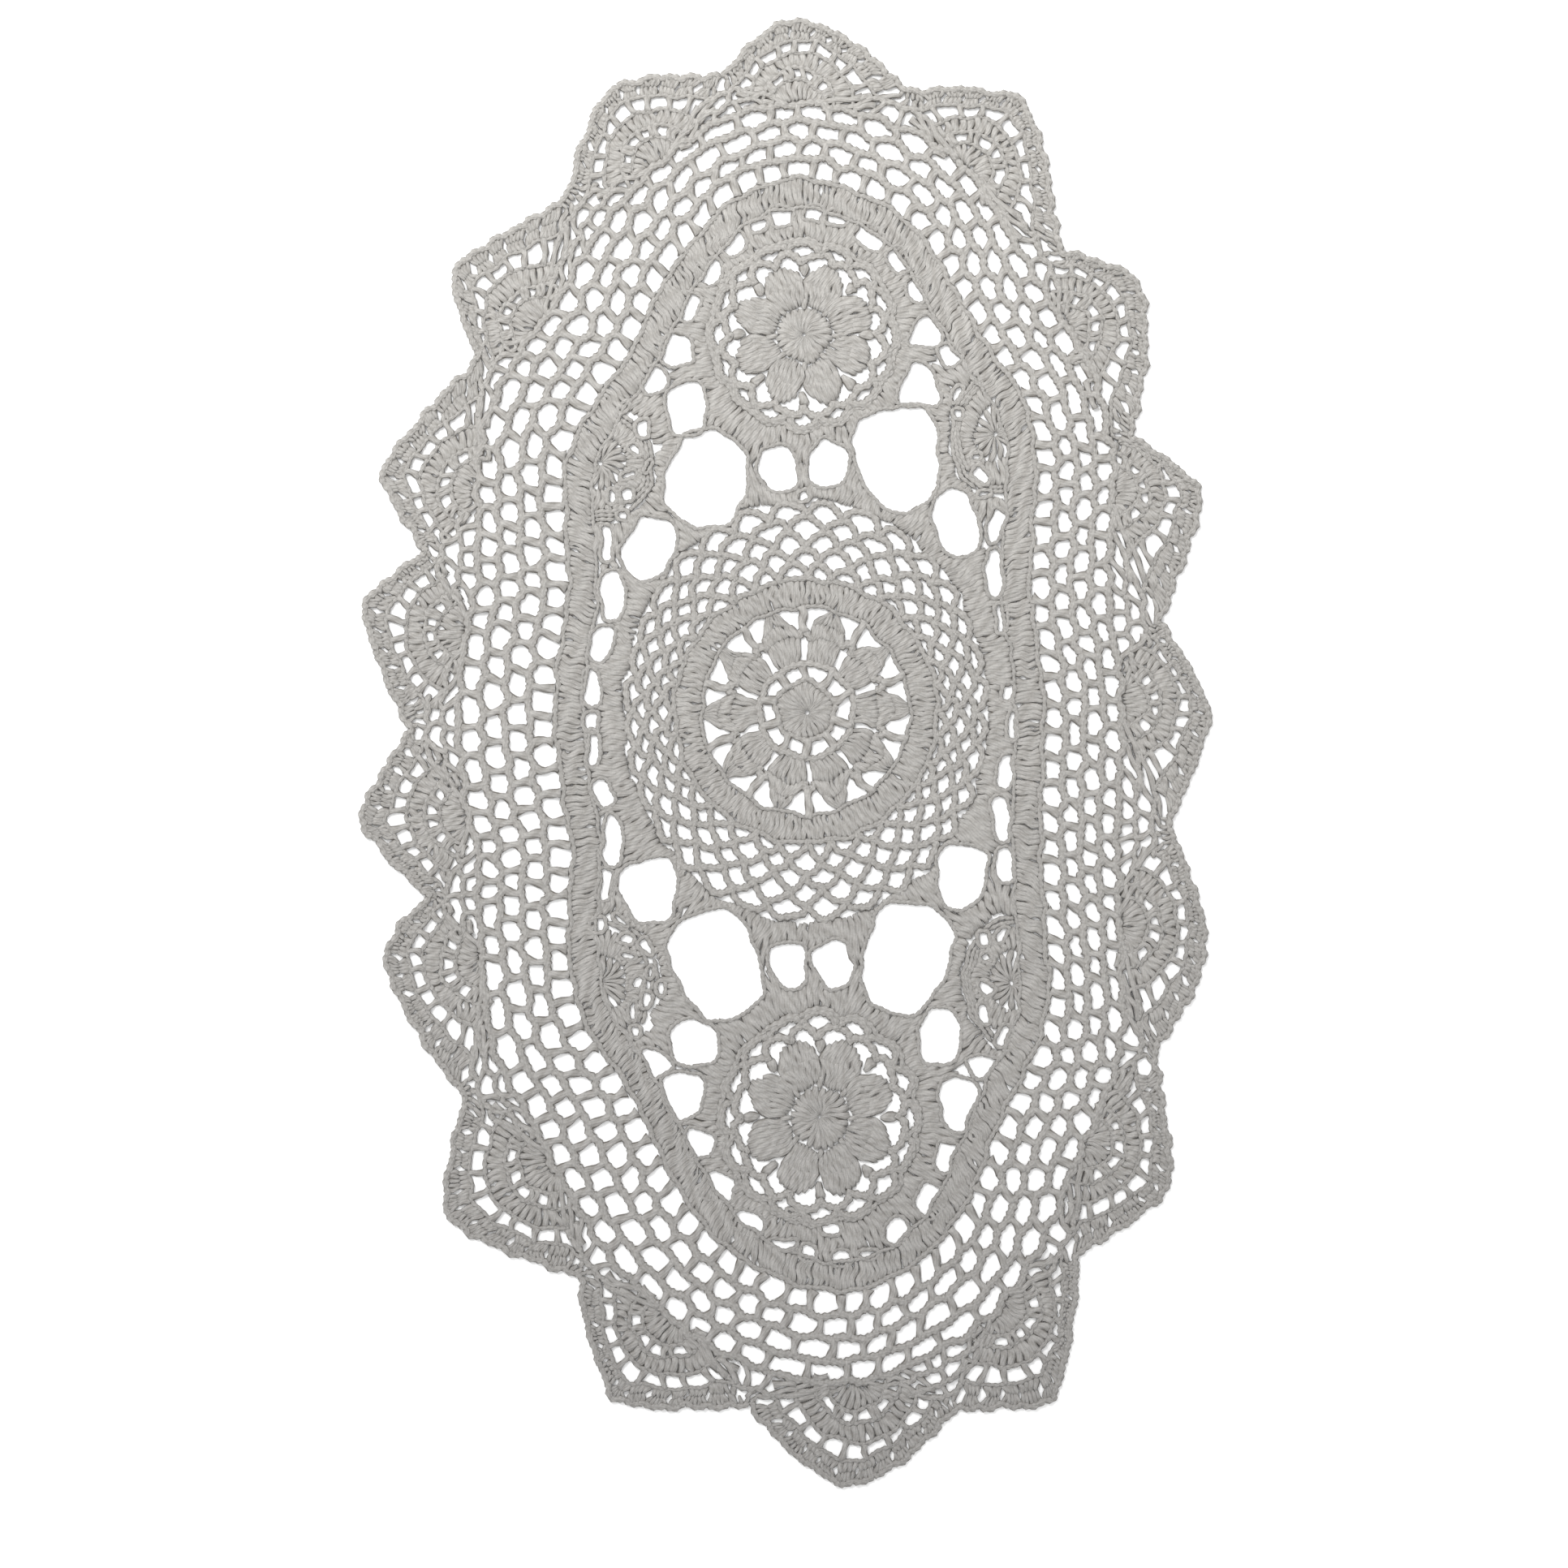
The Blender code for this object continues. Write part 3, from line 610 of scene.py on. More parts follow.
        self._sweep(path, width, height, swell, (share * route.length)[None], closed)

    def finish(self, flat: tuple[float, float], area: float,
               material: bpy.types.Material) -> bpy.types.Object:
        """Args:
            flat: width and length of the zone in metres; not used.
            area: the cloth's own area there, in square metres.
            material: the yarn's finish.

        Returns:
            The finished piece.
        """
        points = np.concatenate(self.points) * MM
        quads = np.concatenate(self.faces)
        caps = np.concatenate(self.caps) if self.caps else np.zeros((0, len(SECTION)), int)
        mesh = bpy.data.meshes.new(self.name)
        mesh.vertices.add(len(points))
        mesh.vertices.foreach_set("co", points.astype(np.float32).ravel())
        loops = np.concatenate([quads.ravel(), caps.ravel()])
        mesh.loops.add(len(loops))
        mesh.loops.foreach_set("vertex_index", loops.astype(np.int32))
        starts = np.concatenate([
            np.arange(len(quads)) * 4, len(quads) * 4 + np.arange(len(caps)) * len(SECTION),
        ])
        mesh.polygons.add(len(starts))
        mesh.polygons.foreach_set("loop_start", starts.astype(np.int32))
        mesh.update(calc_edges=True)
        uv = mesh.uv_layers.new(name="yarn")
        corner_uvs = np.concatenate([np.concatenate(self.face_uvs)] + (
            [np.concatenate(self.cap_uvs)] if self.cap_uvs else []))
        uv.data.foreach_set("uv", corner_uvs.astype(np.float32).ravel())
        for label, values in (("strand_tone", self.tones), ("strand_ridge", self.ridges)):
            layer = mesh.attributes.new(label, "FLOAT", "POINT")
            layer.data.foreach_set("value", np.concatenate(values).astype(np.float32))
        mesh.polygons.foreach_set("use_smooth", np.ones(len(starts), bool))
        mesh.materials.append(material)
        piece = bpy.data.objects.new(self.name, mesh)
        bpy.context.scene.collection.objects.link(piece)
        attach(piece, "root")
        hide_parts("crochet_mat")
        triangles = 2 * len(quads) + (len(SECTION) - 2) * len(caps)
        surface = sum(face.area for face in mesh.polygons)
        LOG.info("%s: %d triangles, surface / 2 = %.5f m2, declared %.5f m2", self.name, triangles,
                 surface / 2, area)
        return piece


# Finishes
class Number:
    """A shader value with Python's arithmetic: each operation adds a Math node."""

    def __init__(self, nodes: "Nodes", socket: bpy.types.NodeSocket) -> None:
        """Wraps a socket of a node in a tree."""
        self.nodes = nodes
        self.socket = socket

    def _math(self, operation: str, *values: object) -> "Number":
        """A Math node on the given values."""
        node = self.nodes.add("ShaderNodeMath", {"operation": operation}, dict(enumerate(values)))
        return Number(self.nodes, node.outputs[0])

    def __add__(self, other: object) -> "Number":
        """The sum."""
        return self._math("ADD", self, other)

    __radd__ = __add__

    def __sub__(self, other: object) -> "Number":
        """The difference."""
        return self._math("SUBTRACT", self, other)

    def __rsub__(self, other: object) -> "Number":
        """The difference from a plain number."""
        return self._math("SUBTRACT", other, self)

    def __mul__(self, other: object) -> "Number":
        """The product."""
        return self._math("MULTIPLY", self, other)

    __rmul__ = __mul__

    def sine(self) -> "Number":
        """The sine."""
        return self._math("SINE", self)

    def size(self) -> "Number":
        """The value without its sign."""
        return self._math("ABSOLUTE", self)

    def least(self, other: object) -> "Number":
        """The smaller of two values."""
        return self._math("MINIMUM", self, other)


class Nodes:
    """The node tree of one material."""

    def __init__(self, material: bpy.types.Material) -> None:
        """Empties the material's tree."""
        material.use_nodes = True
        self.tree = material.node_tree
        self.tree.nodes.clear()

    def add(self, kind: str, settings: dict | None = None, inputs: dict | None = None) -> bpy.types.Node:
        """Adds a node.

        Args:
            kind: the node's type.
            settings: its own settings, set first.
            inputs: values or links of its sockets, by name or number.

        Returns:
            The node.
        """
        node = self.tree.nodes.new(kind)
        for key, value in (settings or {}).items():
            setattr(node, key, value)
        for key, value in (inputs or {}).items():
            socket = value.socket if isinstance(value, Number) else value
            if isinstance(socket, bpy.types.NodeSocket):
                self.tree.links.new(socket, node.inputs[key])
            else:
                node.inputs[key].default_value = socket
        return node

    def number(self, node: bpy.types.Node, output: str | int = 0) -> Number:
        """One output of a node as a Number."""
        return Number(self, node.outputs[output])

    def noise(self, place: bpy.types.NodeSocket, scale: float, detail: float,
              roughness: float = 0.5) -> Number:
        """A noise pattern at a place."""
        return self.number(self.add("ShaderNodeTexNoise", None, {
            "Vector": place, "Scale": scale, "Detail": detail, "Roughness": roughness}))

    def attribute(self, name: str) -> Number:
        """A number that the mesh keeps at each of its points."""
        return self.number(self.add("ShaderNodeAttribute", {"attribute_name": name}), "Fac")

    def finish(self, inputs: dict) -> None:
        """Ends the tree with a Principled shader that has the given inputs."""
        shader = self.add("ShaderNodeBsdfPrincipled", None, inputs)
        self.add("ShaderNodeOutputMaterial", None, {0: shader.outputs[0]})

    def mix(self, share: object, first: object, second: object, way: str = "MIX") -> bpy.types.NodeSocket:
        """A colour between two colours."""
        node = self.add("ShaderNodeMix", {"data_type": "RGBA", "blend_type": way},
                        {"Factor": share, 6: first, 7: second})
        return node.outputs[2]


@dataclass(frozen=True)
class CottonFinish:
    """Soft grey cotton yarn: fine fibres wound round each strand, with painted shade on its sides and in
    its hollows.
    """

    pale: tuple[float, float, float, float] = (0.462, 0.454, 0.435, 1.0)
    deep: tuple[float, float, float, float] = (0.266, 0.262, 0.252, 1.0)
    # painted light: the ends of a ramp along the mat, lighter and slightly warmer at the top, darker at the
    # bottom
    painted_light_top: tuple[float, float, float, float] = (1.095, 1.078, 1.059, 1.0)
    painted_shade_bottom: tuple[float, float, float, float] = (0.69, 0.681, 0.686, 1.0)
    # painted shade: a dark brownish colour mixed in on the steep sides of strands and in their hollows,
    # where shade falls
    painted_crease_shade: tuple[float, float, float, float] = (0.078, 0.063, 0.044, 1.0)
    painted_crease_shade_share: float = 0.17
    painted_edge_shade_share: float = 0.94
    painted_hollow_shade_share: float = 0.28
    darkest_painted_shade: float = 0.9
    half_length: float = 0.25
    contrast: float = 0.55
    ply_share: float = 0.22
    fuzz_share: float = 1.9
    lint_share: float = 1.4
    strand_share: float = 0.24
    patch_share: float = 0.5
    fuzz_scale: float = 1500.0
    lint_scale: float = 520.0
    patch_scale: float = 22.0
    fibre_turns: float = 7.0
    fibre_pitch: float = 5.0
    relief_shares: tuple[float, float, float] = (0.55, 1.1, 0.7)
    bump_height: float = 0.00022
    bump_strength: float = 0.55
    roughness: float = 0.95
    sheen: float = 0.25
    sheen_roughness: float = 0.6
    specular: float = 0.15

    def make(self) -> bpy.types.Material:
        """The yarn's material.

        The yarn map runs along a strand in millimetres and round it from 0 to 1. The fibres are a sine
        of both, and fine noises fray them. Painted shade darkens a strand where its surface turns steeply
        down: by |cos| ** 3 and |cos| ** 8 of the turn from its crown, and in the hollows of its relief.
        A painted light ramp makes the yarn lighter towards the top of the mat and darker towards the
        bottom.

        Returns:
            The material.
        """
        material = bpy.data.materials.new("cotton_yarn_look")
        nodes = Nodes(material)
        place = nodes.add("ShaderNodeTexCoord").outputs["Object"]
        yarn = nodes.add("ShaderNodeUVMap", {"uv_map": "yarn"})
        parts = nodes.add("ShaderNodeSeparateXYZ", None, {0: yarn.outputs[0]})
        along, around = nodes.number(parts, 0), nodes.number(parts, 1)
        ply = (along * (TAU / self.fibre_pitch) + around * (TAU * self.fibre_turns)).sine()
        fuzz = nodes.noise(place, self.fuzz_scale, 3.0, 0.7)
        lint = nodes.noise(place, self.lint_scale, 2.0, 0.6)
        patch = nodes.noise(place, self.patch_scale, 2.0)
        tone = nodes.attribute("strand_tone")
        shade = (self.ply_share * ply + self.fuzz_share * (fuzz - 0.5) + self.lint_share * (lint - 0.5)
                 + self.strand_share * (tone - 0.5) + self.patch_share * (patch - 0.5))
        colour = nodes.mix(0.5 + self.contrast * shade, self.deep, self.pale)
        # painted shade: each strand is darker the further its surface turns down from its crown, darkest at
        # the edges beside holes
        over = around.least(2.0 * CROWN)
        turn = over * (0.5 / CROWN) + (around - over) * (1.0 / (1.0 - 2.0 * CROWN))
        aside = (turn * np.pi + 0.5 * np.pi).sine().size()
        square = aside * aside
        painted_crease_shade = square * aside * self.painted_crease_shade_share + square * square * square * square * self.painted_edge_shade_share
        # painted shade: the yarn is darker in the hollows of each strand's relief, read from its
        # strand_ridge value
        ridge = nodes.attribute("strand_ridge")
        painted_hollow_shade = (1.0 - ridge) * (1.0 - ridge)
        colour = nodes.mix((painted_crease_shade + painted_hollow_shade * self.painted_hollow_shade_share).least(self.darkest_painted_shade), colour, self.painted_crease_shade)
        # painted light ramp: the yarn's colour is multiplied lighter towards the top of the mat and darker
        # towards the bottom
        spot = nodes.add("ShaderNodeSeparateXYZ", None, {0: place})
        along_mat = nodes.number(spot, 1) * (0.5 / self.half_length) + 0.5
        painted_light_ramp = nodes.mix(along_mat, self.painted_shade_bottom, self.painted_light_top)
        colour = nodes.mix(1.0, colour, painted_light_ramp, "MULTIPLY")
        by_ply, by_fuzz, by_lint = self.relief_shares
        relief = by_ply * ply + by_fuzz * fuzz + by_lint * lint
        bump = nodes.add("ShaderNodeBump", None, {
            "Strength": self.bump_strength, "Distance": self.bump_height, "Height": relief})
        nodes.finish({
            "Base Color": colour, "Roughness": self.roughness, "Normal": bump.outputs[0],
            "Sheen Weight": self.sheen, "Sheen Roughness": self.sheen_roughness,
            "Specular IOR Level": self.specular})
        return material


@dataclass(frozen=True)
class TableFinish:
    """A plain, pale, matte table top with a barely seen mottle."""

    colour: tuple[float, float, float, float] = (0.93, 0.93, 0.93, 1.0)
    shade: tuple[float, float, float, float] = (0.90, 0.90, 0.90, 1.0)
    mottle_scale: float = 3.0
    roughness: float = 0.9

    def make(self) -> bpy.types.Material:
        """The table's material."""
        material = bpy.data.materials.new("pale_table")
        nodes = Nodes(material)
        mottle = nodes.noise(nodes.add("ShaderNodeTexCoord").outputs["Object"], self.mottle_scale, 2.0)
        colour = nodes.mix(mottle, self.shade, self.colour)
        nodes.finish({"Base Color": colour, "Roughness": self.roughness})
        return material


# The zones of the crochet
@dataclass
class Zone:
    """A zone of the crochet that becomes one piece; flat is its size in metres, area in square metres."""

    name: str
    seed: int
    flat: tuple[float, float]
    area: float

    def build(self, material: bpy.types.Material) -> bpy.types.Object:
        """Works the zone and makes its piece.

        Args:
            material: the yarn's finish.

        Returns:
            The piece.
        """
        work = YarnWork(self.name, self.seed)
        self.work_on(work)
        return work.finish(self.flat, self.area, material)

    def work_on(self, work: YarnWork) -> None:
        """Works the stitches; each kind of zone has its own."""
        raise NotImplementedError


@dataclass
class OvalBand(Zone):
    """The oval band: wavy tall stitches side by side, slits between some, a chain over their heads."""

    name: str = "oval_band"
    seed: int = 11
    flat: tuple[float, float] = (0.0125, 0.905)
    area: float = 0.0112
    cell_posts: int = 5
    cover: float = 1.52
    slits: float = 0.34
    phase_step: float = 0.37
    uneven: tuple[tuple[float, float], ...] = ((0.03, 2.1), (0.03, 0.71))
    lean: tuple[float, float] = (0.08, 0.13)

    def work_on(self, work: YarnWork) -> None:
        """Works the band; its stitches stand and lean unevenly, by size * sin(speed * number)."""
        number = np.arange(PLAN.net_cells * self.cell_posts)
        place = (number + 0.5) / self.cell_posts
        for size, speed in self.uneven:
            place = place + size * np.sin(number * speed)
        size, speed = self.lean
        base, top = PLAN.inner_edge.at(place), PLAN.outer_edge.at(place + size * np.sin(number * speed))
        work.row(base, top, Stitch.BAND_POST, self.cover, POST_RINGS + 1, self.slits,
                 self.phase_step * number, closed=True)
        work.cord(PLAN.outer_edge.points[:-1], Stitch.HEAD_CHAIN, closed=True)


@dataclass
class NetGround(Zone):
    """The net outside the band: four full rounds of bars and chains, set half a cell on each round."""

    name: str = "net_ground"
    seed: int = 23
    flat: tuple[float, float] = (0.245, 0.445)
    area: float = 0.033
    dip: float = 0.55
    valley_pitch: float = 5.2
    valley_cell: float = 7.2
    valley_dip: float = 0.4
    valley_lap: float = 0.03
    first_bars: tuple[float, float] = (0.15, 0.5)
    cell_points: int = 8

    def round_phase(self, line: int) -> float:
        """Half a cell for every second round."""
        return 0.5 * (line % 2)

    def work_on(self, work: YarnWork) -> None:
        """Works the full rounds, then the short ones between the scallops."""
        rounds = len(PLAN.net_shares) - 1
        for line in range(1, rounds + 1):
            cell = np.arange(PLAN.net_cells) + self.round_phase(line)
            base = PLAN.ground(cell, PLAN.net_depth(cell, line - 1))
            top = PLAN.ground(cell, PLAN.net_depth(cell, line) - self.dip)
            work.posts(base, top, Stitch.NET_BAR)
            fine = np.arange(PLAN.net_cells * self.cell_points) / self.cell_points
            wave = self.dip * np.cos(TAU * (fine - self.round_phase(line)))
            work.cord(PLAN.ground(fine, PLAN.net_depth(fine, line) - wave), Stitch.NET_CHAIN, closed=True)
        for index in range(len(SCALLOPS)):
            self.fill_valley(work, index)

    def valley_spot(self, index: int, along: np.ndarray, share: np.ndarray) -> Plan:
        """Points between two scallops: along from one's centre to the next, share from net to valley."""
        left = PLAN.tip_cells[index - 1] - (PLAN.net_cells if index == 0 else 0)
        cell = left + (PLAN.tip_cells[index] - left) * np.asarray(along, float)
        foot = PLAN.ground(cell, PLAN.net_depth(cell, len(PLAN.net_shares) - 1))
        return blend(foot, PLAN.valleys[index], np.asarray(share, float)[..., None])

    def fill_valley(self, work: YarnWork, index: int) -> None:
        """Works the short rounds between two scallops, each shorter the nearer it lies to the valley."""
        ends = self.valley_spot(index, np.array([0.0, 1.0]), np.zeros(2))
        span = np.linalg.norm(ends[1] - ends[0])
        foot, valley = PLAN.valley_foot(index), PLAN.valleys[index]
        depth = np.linalg.norm(valley - foot)
        room = depth - PLAN.valley_edging
        rounds = int(round(room / self.valley_pitch))
        for step in range(1, rounds + 1):
            share, below = step * room / rounds / depth, (step - 1) * room / rounds / depth
            bars = max(1, int(round(span * (1.0 - 0.5 * (share + below)) / self.valley_cell)))
            along = (np.arange(bars) + self.first_bars[step % 2]) / bars
            work.posts(self.valley_spot(index, along, below), self.valley_spot(index, along, share),
                       Stitch.VALLEY_BAR, rings=SHORT_RINGS)
            fine = np.linspace(-self.valley_lap, 1.0 + self.valley_lap, bars * self.cell_points + 1)
            wave = self.valley_dip / depth * np.cos(TAU * (fine - along[0]) * bars)
            work.cord(self.valley_spot(index, np.clip(fine, 0.0, 1.0), share - wave), Stitch.VALLEY_CHAIN)


@dataclass
class ScallopBorder(Zone):
    """Part of the border: in each scallop a shell, an arc of tall stitches, a ring of holes and an edging.

    A place in a scallop is (across, out): across runs from -1 to 1 between the directions of its two
    valleys, seen from its centre, and out is the distance from the centre in millimetres in a scallop
    that reaches `full_reach`. Inner rows are round; further out they bend to the scallop's outline.
    The part runs from the scallop with the number `first` to the one before `last`.
    """

    first: int
    last: int
    outline_points: int = 161
    full_reach: float = 39.0
    round_to: float = 18.0
    shell_posts: int = 11
    shell_across: float = 0.98
    shell_foot: float = 5.0
    shell: tuple[float, float] = (0.8, 11.6)
    spaces: tuple[float, ...] = (-0.92, -0.82, -0.46, -0.34, 0.0, 0.34, 0.46, 0.82, 0.92)
    side_bar: float = 1.25
    shell_slits: float = 0.3
    arc_posts: int = 21
    arc: tuple[float, float] = (16.9, 24.2)
    arc_across: float = 1.04
    arc_slits: float = 0.35
    chain_across: tuple[float, float, float] = (1.28, 1.28, 1.16)
    arc_points: int = 48
    ring_bars: int = 10
    ring_step: float = 0.25
    ring_end: float = 30.4
    knot_margin: float = 2.5
    least_valley: float = 6.0
    bump_pitch: float = 7.5
    bump: tuple[float, float, float] = (0.83, 0.145, 0.7)
    waist: tuple[float, float] = (0.52, 0.84)
    waist_at: float = 0.46
    waist_lap: float = 0.03
    cluster_posts: tuple[int, int] = (4, 5)
    cluster_cover: float = 1.18
    cluster_top: float = 0.95
    cluster_round: float = 0.30
    lean: float = 0.10
    edge_step: float = 0.8
    edge_bead: float = 0.10

    def __post_init__(self) -> None:
        """Works out each scallop's centre and the outline as seen from it, then the edging's strip."""
        across = np.linspace(-1.0, 1.0, self.outline_points)
        last = len(PLAN.net_shares) - 1
        self.centres = PLAN.ground(PLAN.tip_cells, PLAN.net_depth(PLAN.tip_cells, last))
        self.outlines = PLAN.edge(np.arange(len(SCALLOPS))[:, None], across[None])
        away = self.outlines - self.centres[:, None]
        turn = np.unwrap(np.arctan2(away[..., 1], away[..., 0]), axis=1)
        self.turns = np.maximum.accumulate(-turn, axis=1)
        self.radii = np.linalg.norm(away, axis=-1)
        self.strip()

    def spot(self, index: int, across: np.ndarray, out: np.ndarray) -> Plan:
        """Points of a scallop at (across, out).

        The radius is out * mean radius / full reach where the rows are round, and out * the outline's
        own radius / full reach at the edge, with a smooth step between them.
        """
        turns, radii = self.turns[index], self.radii[index]
        turn = turns[0] + (turns[-1] - turns[0]) * 0.5 * (np.asarray(across, float) + 1.0)
        out = np.asarray(out, float)
        step = np.clip((out - self.round_to) / (self.full_reach - self.round_to), 0.0, 1.0)
        step = step * step * (3.0 - 2.0 * step)
        edge = np.interp(turn, turns, radii)
        radius = out / self.full_reach * (radii.mean() * (1.0 - step) + edge * step)
        return polar(self.centres[index, 0], self.centres[index, 1], radius, -turn)

    def strip(self) -> None:
        """Joins the edging of all scallops to one closed strip, read by the length along the outline.

        Each knot pairs a point of the outline with one of the strip's inner line. The inner line
        follows the rings of holes and cuts each valley's corner at the depth of the edging there.
        """
        runs, inner, outer, starts = [], [], [], []
        offset = 0.0
        for index in range(len(SCALLOPS)):
            line = self.outlines[index]
            marks = Route(line, 1.0, closed=False).marks
            starts.append(offset)
            toward = PLAN.valley_foot(index) - PLAN.valleys[index]
            depth = max(np.linalg.norm(toward), self.least_valley)
            corner = PLAN.valleys[index] + toward * (PLAN.valley_edging / depth)
            keep = (marks > self.knot_margin) & (marks < marks[-1] - self.knot_margin)
            turn = self.turns[index][keep]
            across = 2.0 * (turn - turn[0]) / (turn[-1] - turn[0]) - 1.0
            runs.append(np.concatenate([[offset], offset + marks[keep]]))
            inner.append(np.concatenate([corner[None], self.spot(index, across, self.ring_end)]))
            outer.append(np.concatenate([PLAN.valleys[index][None], line[keep]]))
            offset += marks[-1]
        self.runs, self.inner, self.outer = (np.concatenate(part) for part in (runs, inner, outer))
        self.starts, self.length = np.array(starts + [offset]), offset

    def cross(self, run: np.ndarray, share: np.ndarray) -> Plan:
        """Points of the edging: run along the outline, share from its inner line (0) to the outline (1)."""
        lines = [[np.interp(run, self.runs, line[:, axis], period=self.length) for axis in (0, 1)]
                 for line in (self.inner, self.outer)]
        return np.stack([blend(*pair, np.asarray(share, float)) for pair in zip(*lines)], axis=-1)

    def work_on(self, work: YarnWork) -> None:
        """Works the scallops of this part, then their edging."""
        for index in range(self.first, self.last):
            self.scallop(work, index)
        self.edging(work, self.starts[self.first], self.starts[self.last])

    def scallop(self, work: YarnWork, index: int) -> None:
        """Works one scallop from its shell out to its ring of holes."""
        across = np.linspace(-self.shell_across, self.shell_across, self.shell_posts)
        outward = self.spot(index, 0.0, 1.0) - self.centres[index]
        outward = outward / np.linalg.norm(outward)
        sideways = np.array([outward[1], -outward[0]])
        foot = self.centres[index] + self.shell[0] * outward + np.outer(self.shell_foot * across, sideways)
        work.row(foot, self.spot(index, across, self.shell[1]), Stitch.FAN_POST, slits=self.shell_slits)
        places = np.array(self.spaces)
        work.posts(self.spot(index, places, self.shell[1]), self.spot(index, places, self.arc[0]),
                   Stitch.VALLEY_BAR, rings=SHORT_RINGS)
        across = np.linspace(-self.arc_across, self.arc_across, self.arc_posts)
        work.row(self.spot(index, across, self.arc[0]), self.spot(index, across, self.arc[1]),
                 Stitch.FAN_POST, slits=self.arc_slits)
        bars = (np.arange(self.ring_bars) - 0.5 * (self.ring_bars - 1)) * self.ring_step
        sides = np.array([-self.side_bar, self.side_bar])
        for places, low, high in ((bars, self.arc[1], self.ring_end), (sides, self.shell[1], self.arc[0])):
            work.posts(self.spot(index, places, low), self.spot(index, places, high), Stitch.VALLEY_BAR,
                       rings=SHORT_RINGS)
        for out, reach in zip((self.shell[1], *self.arc), self.chain_across):
            work.cord(self.spot(index, np.linspace(-reach, reach, self.arc_points), out), Stitch.ARC_CHAIN)

    def edging(self, work: YarnWork, start: float, end: float) -> None:
        """Works the edging between two places along the outline: clusters with a narrow waist.

        A cluster's inner stitches draw together to its waist and its outer ones spread again to a
        rounded bump of the outline, which leaves a small hole or slit between two waists. The edge
        chain lies at foot + rise * |cos| ** power of the strip's depth, one wave for each cluster.
        """
        count = int(round(self.length / self.bump_pitch))
        pitch = self.length / count
        middle = (np.arange(count) + 0.5) * pitch
        middle = middle[(middle >= start) & (middle < end)][:, None]
        waist = work.rng.uniform(*self.waist, middle.shape)
        inner = (1.0, waist, 0.0, self.waist_at + self.waist_lap)
        outer = (waist, 1.0, self.waist_at - self.waist_lap, self.cluster_top)
        for posts, (wide_low, wide_high, low, high) in zip(self.cluster_posts, (inner, outer)):
            place = ((np.arange(posts) - 0.5 * (posts - 1)) / posts)[None]
            lean = self.lean * pitch * (1.0 if low else -1.0)
            lower = (middle + pitch * wide_low * place + (0.0 if low else lean)).ravel()
            upper = (middle + pitch * wide_high * place + (lean if low else 0.0)).ravel()
            places = np.repeat(place, len(middle), axis=0).ravel()
            crown = high - (self.cluster_round * places ** 2 if low else 0.0)
            sizes = tuple(
                np.repeat(pitch * wide / posts * self.cluster_cover + 0.0 * middle, posts, axis=1).ravel()
                for wide in (wide_low, wide_high))
            work.posts(self.cross(lower, low), self.cross(upper, crown), Stitch.FAN_POST, sizes, ROW_RINGS)
        steps = int(round((end - start) / self.edge_step))
        run = np.linspace(start, end, steps)
        work.cord(self.cross(run, np.zeros(steps)), Stitch.RIM_CHAIN)
        foot, rise, power = self.bump
        wave = np.abs(np.cos(np.pi * (run - 0.5 * pitch - self.lean * pitch) / pitch))
        work.cord(self.cross(run, foot + rise * wave ** power), Stitch.EDGE_CHAIN, bead=self.edge_bead)


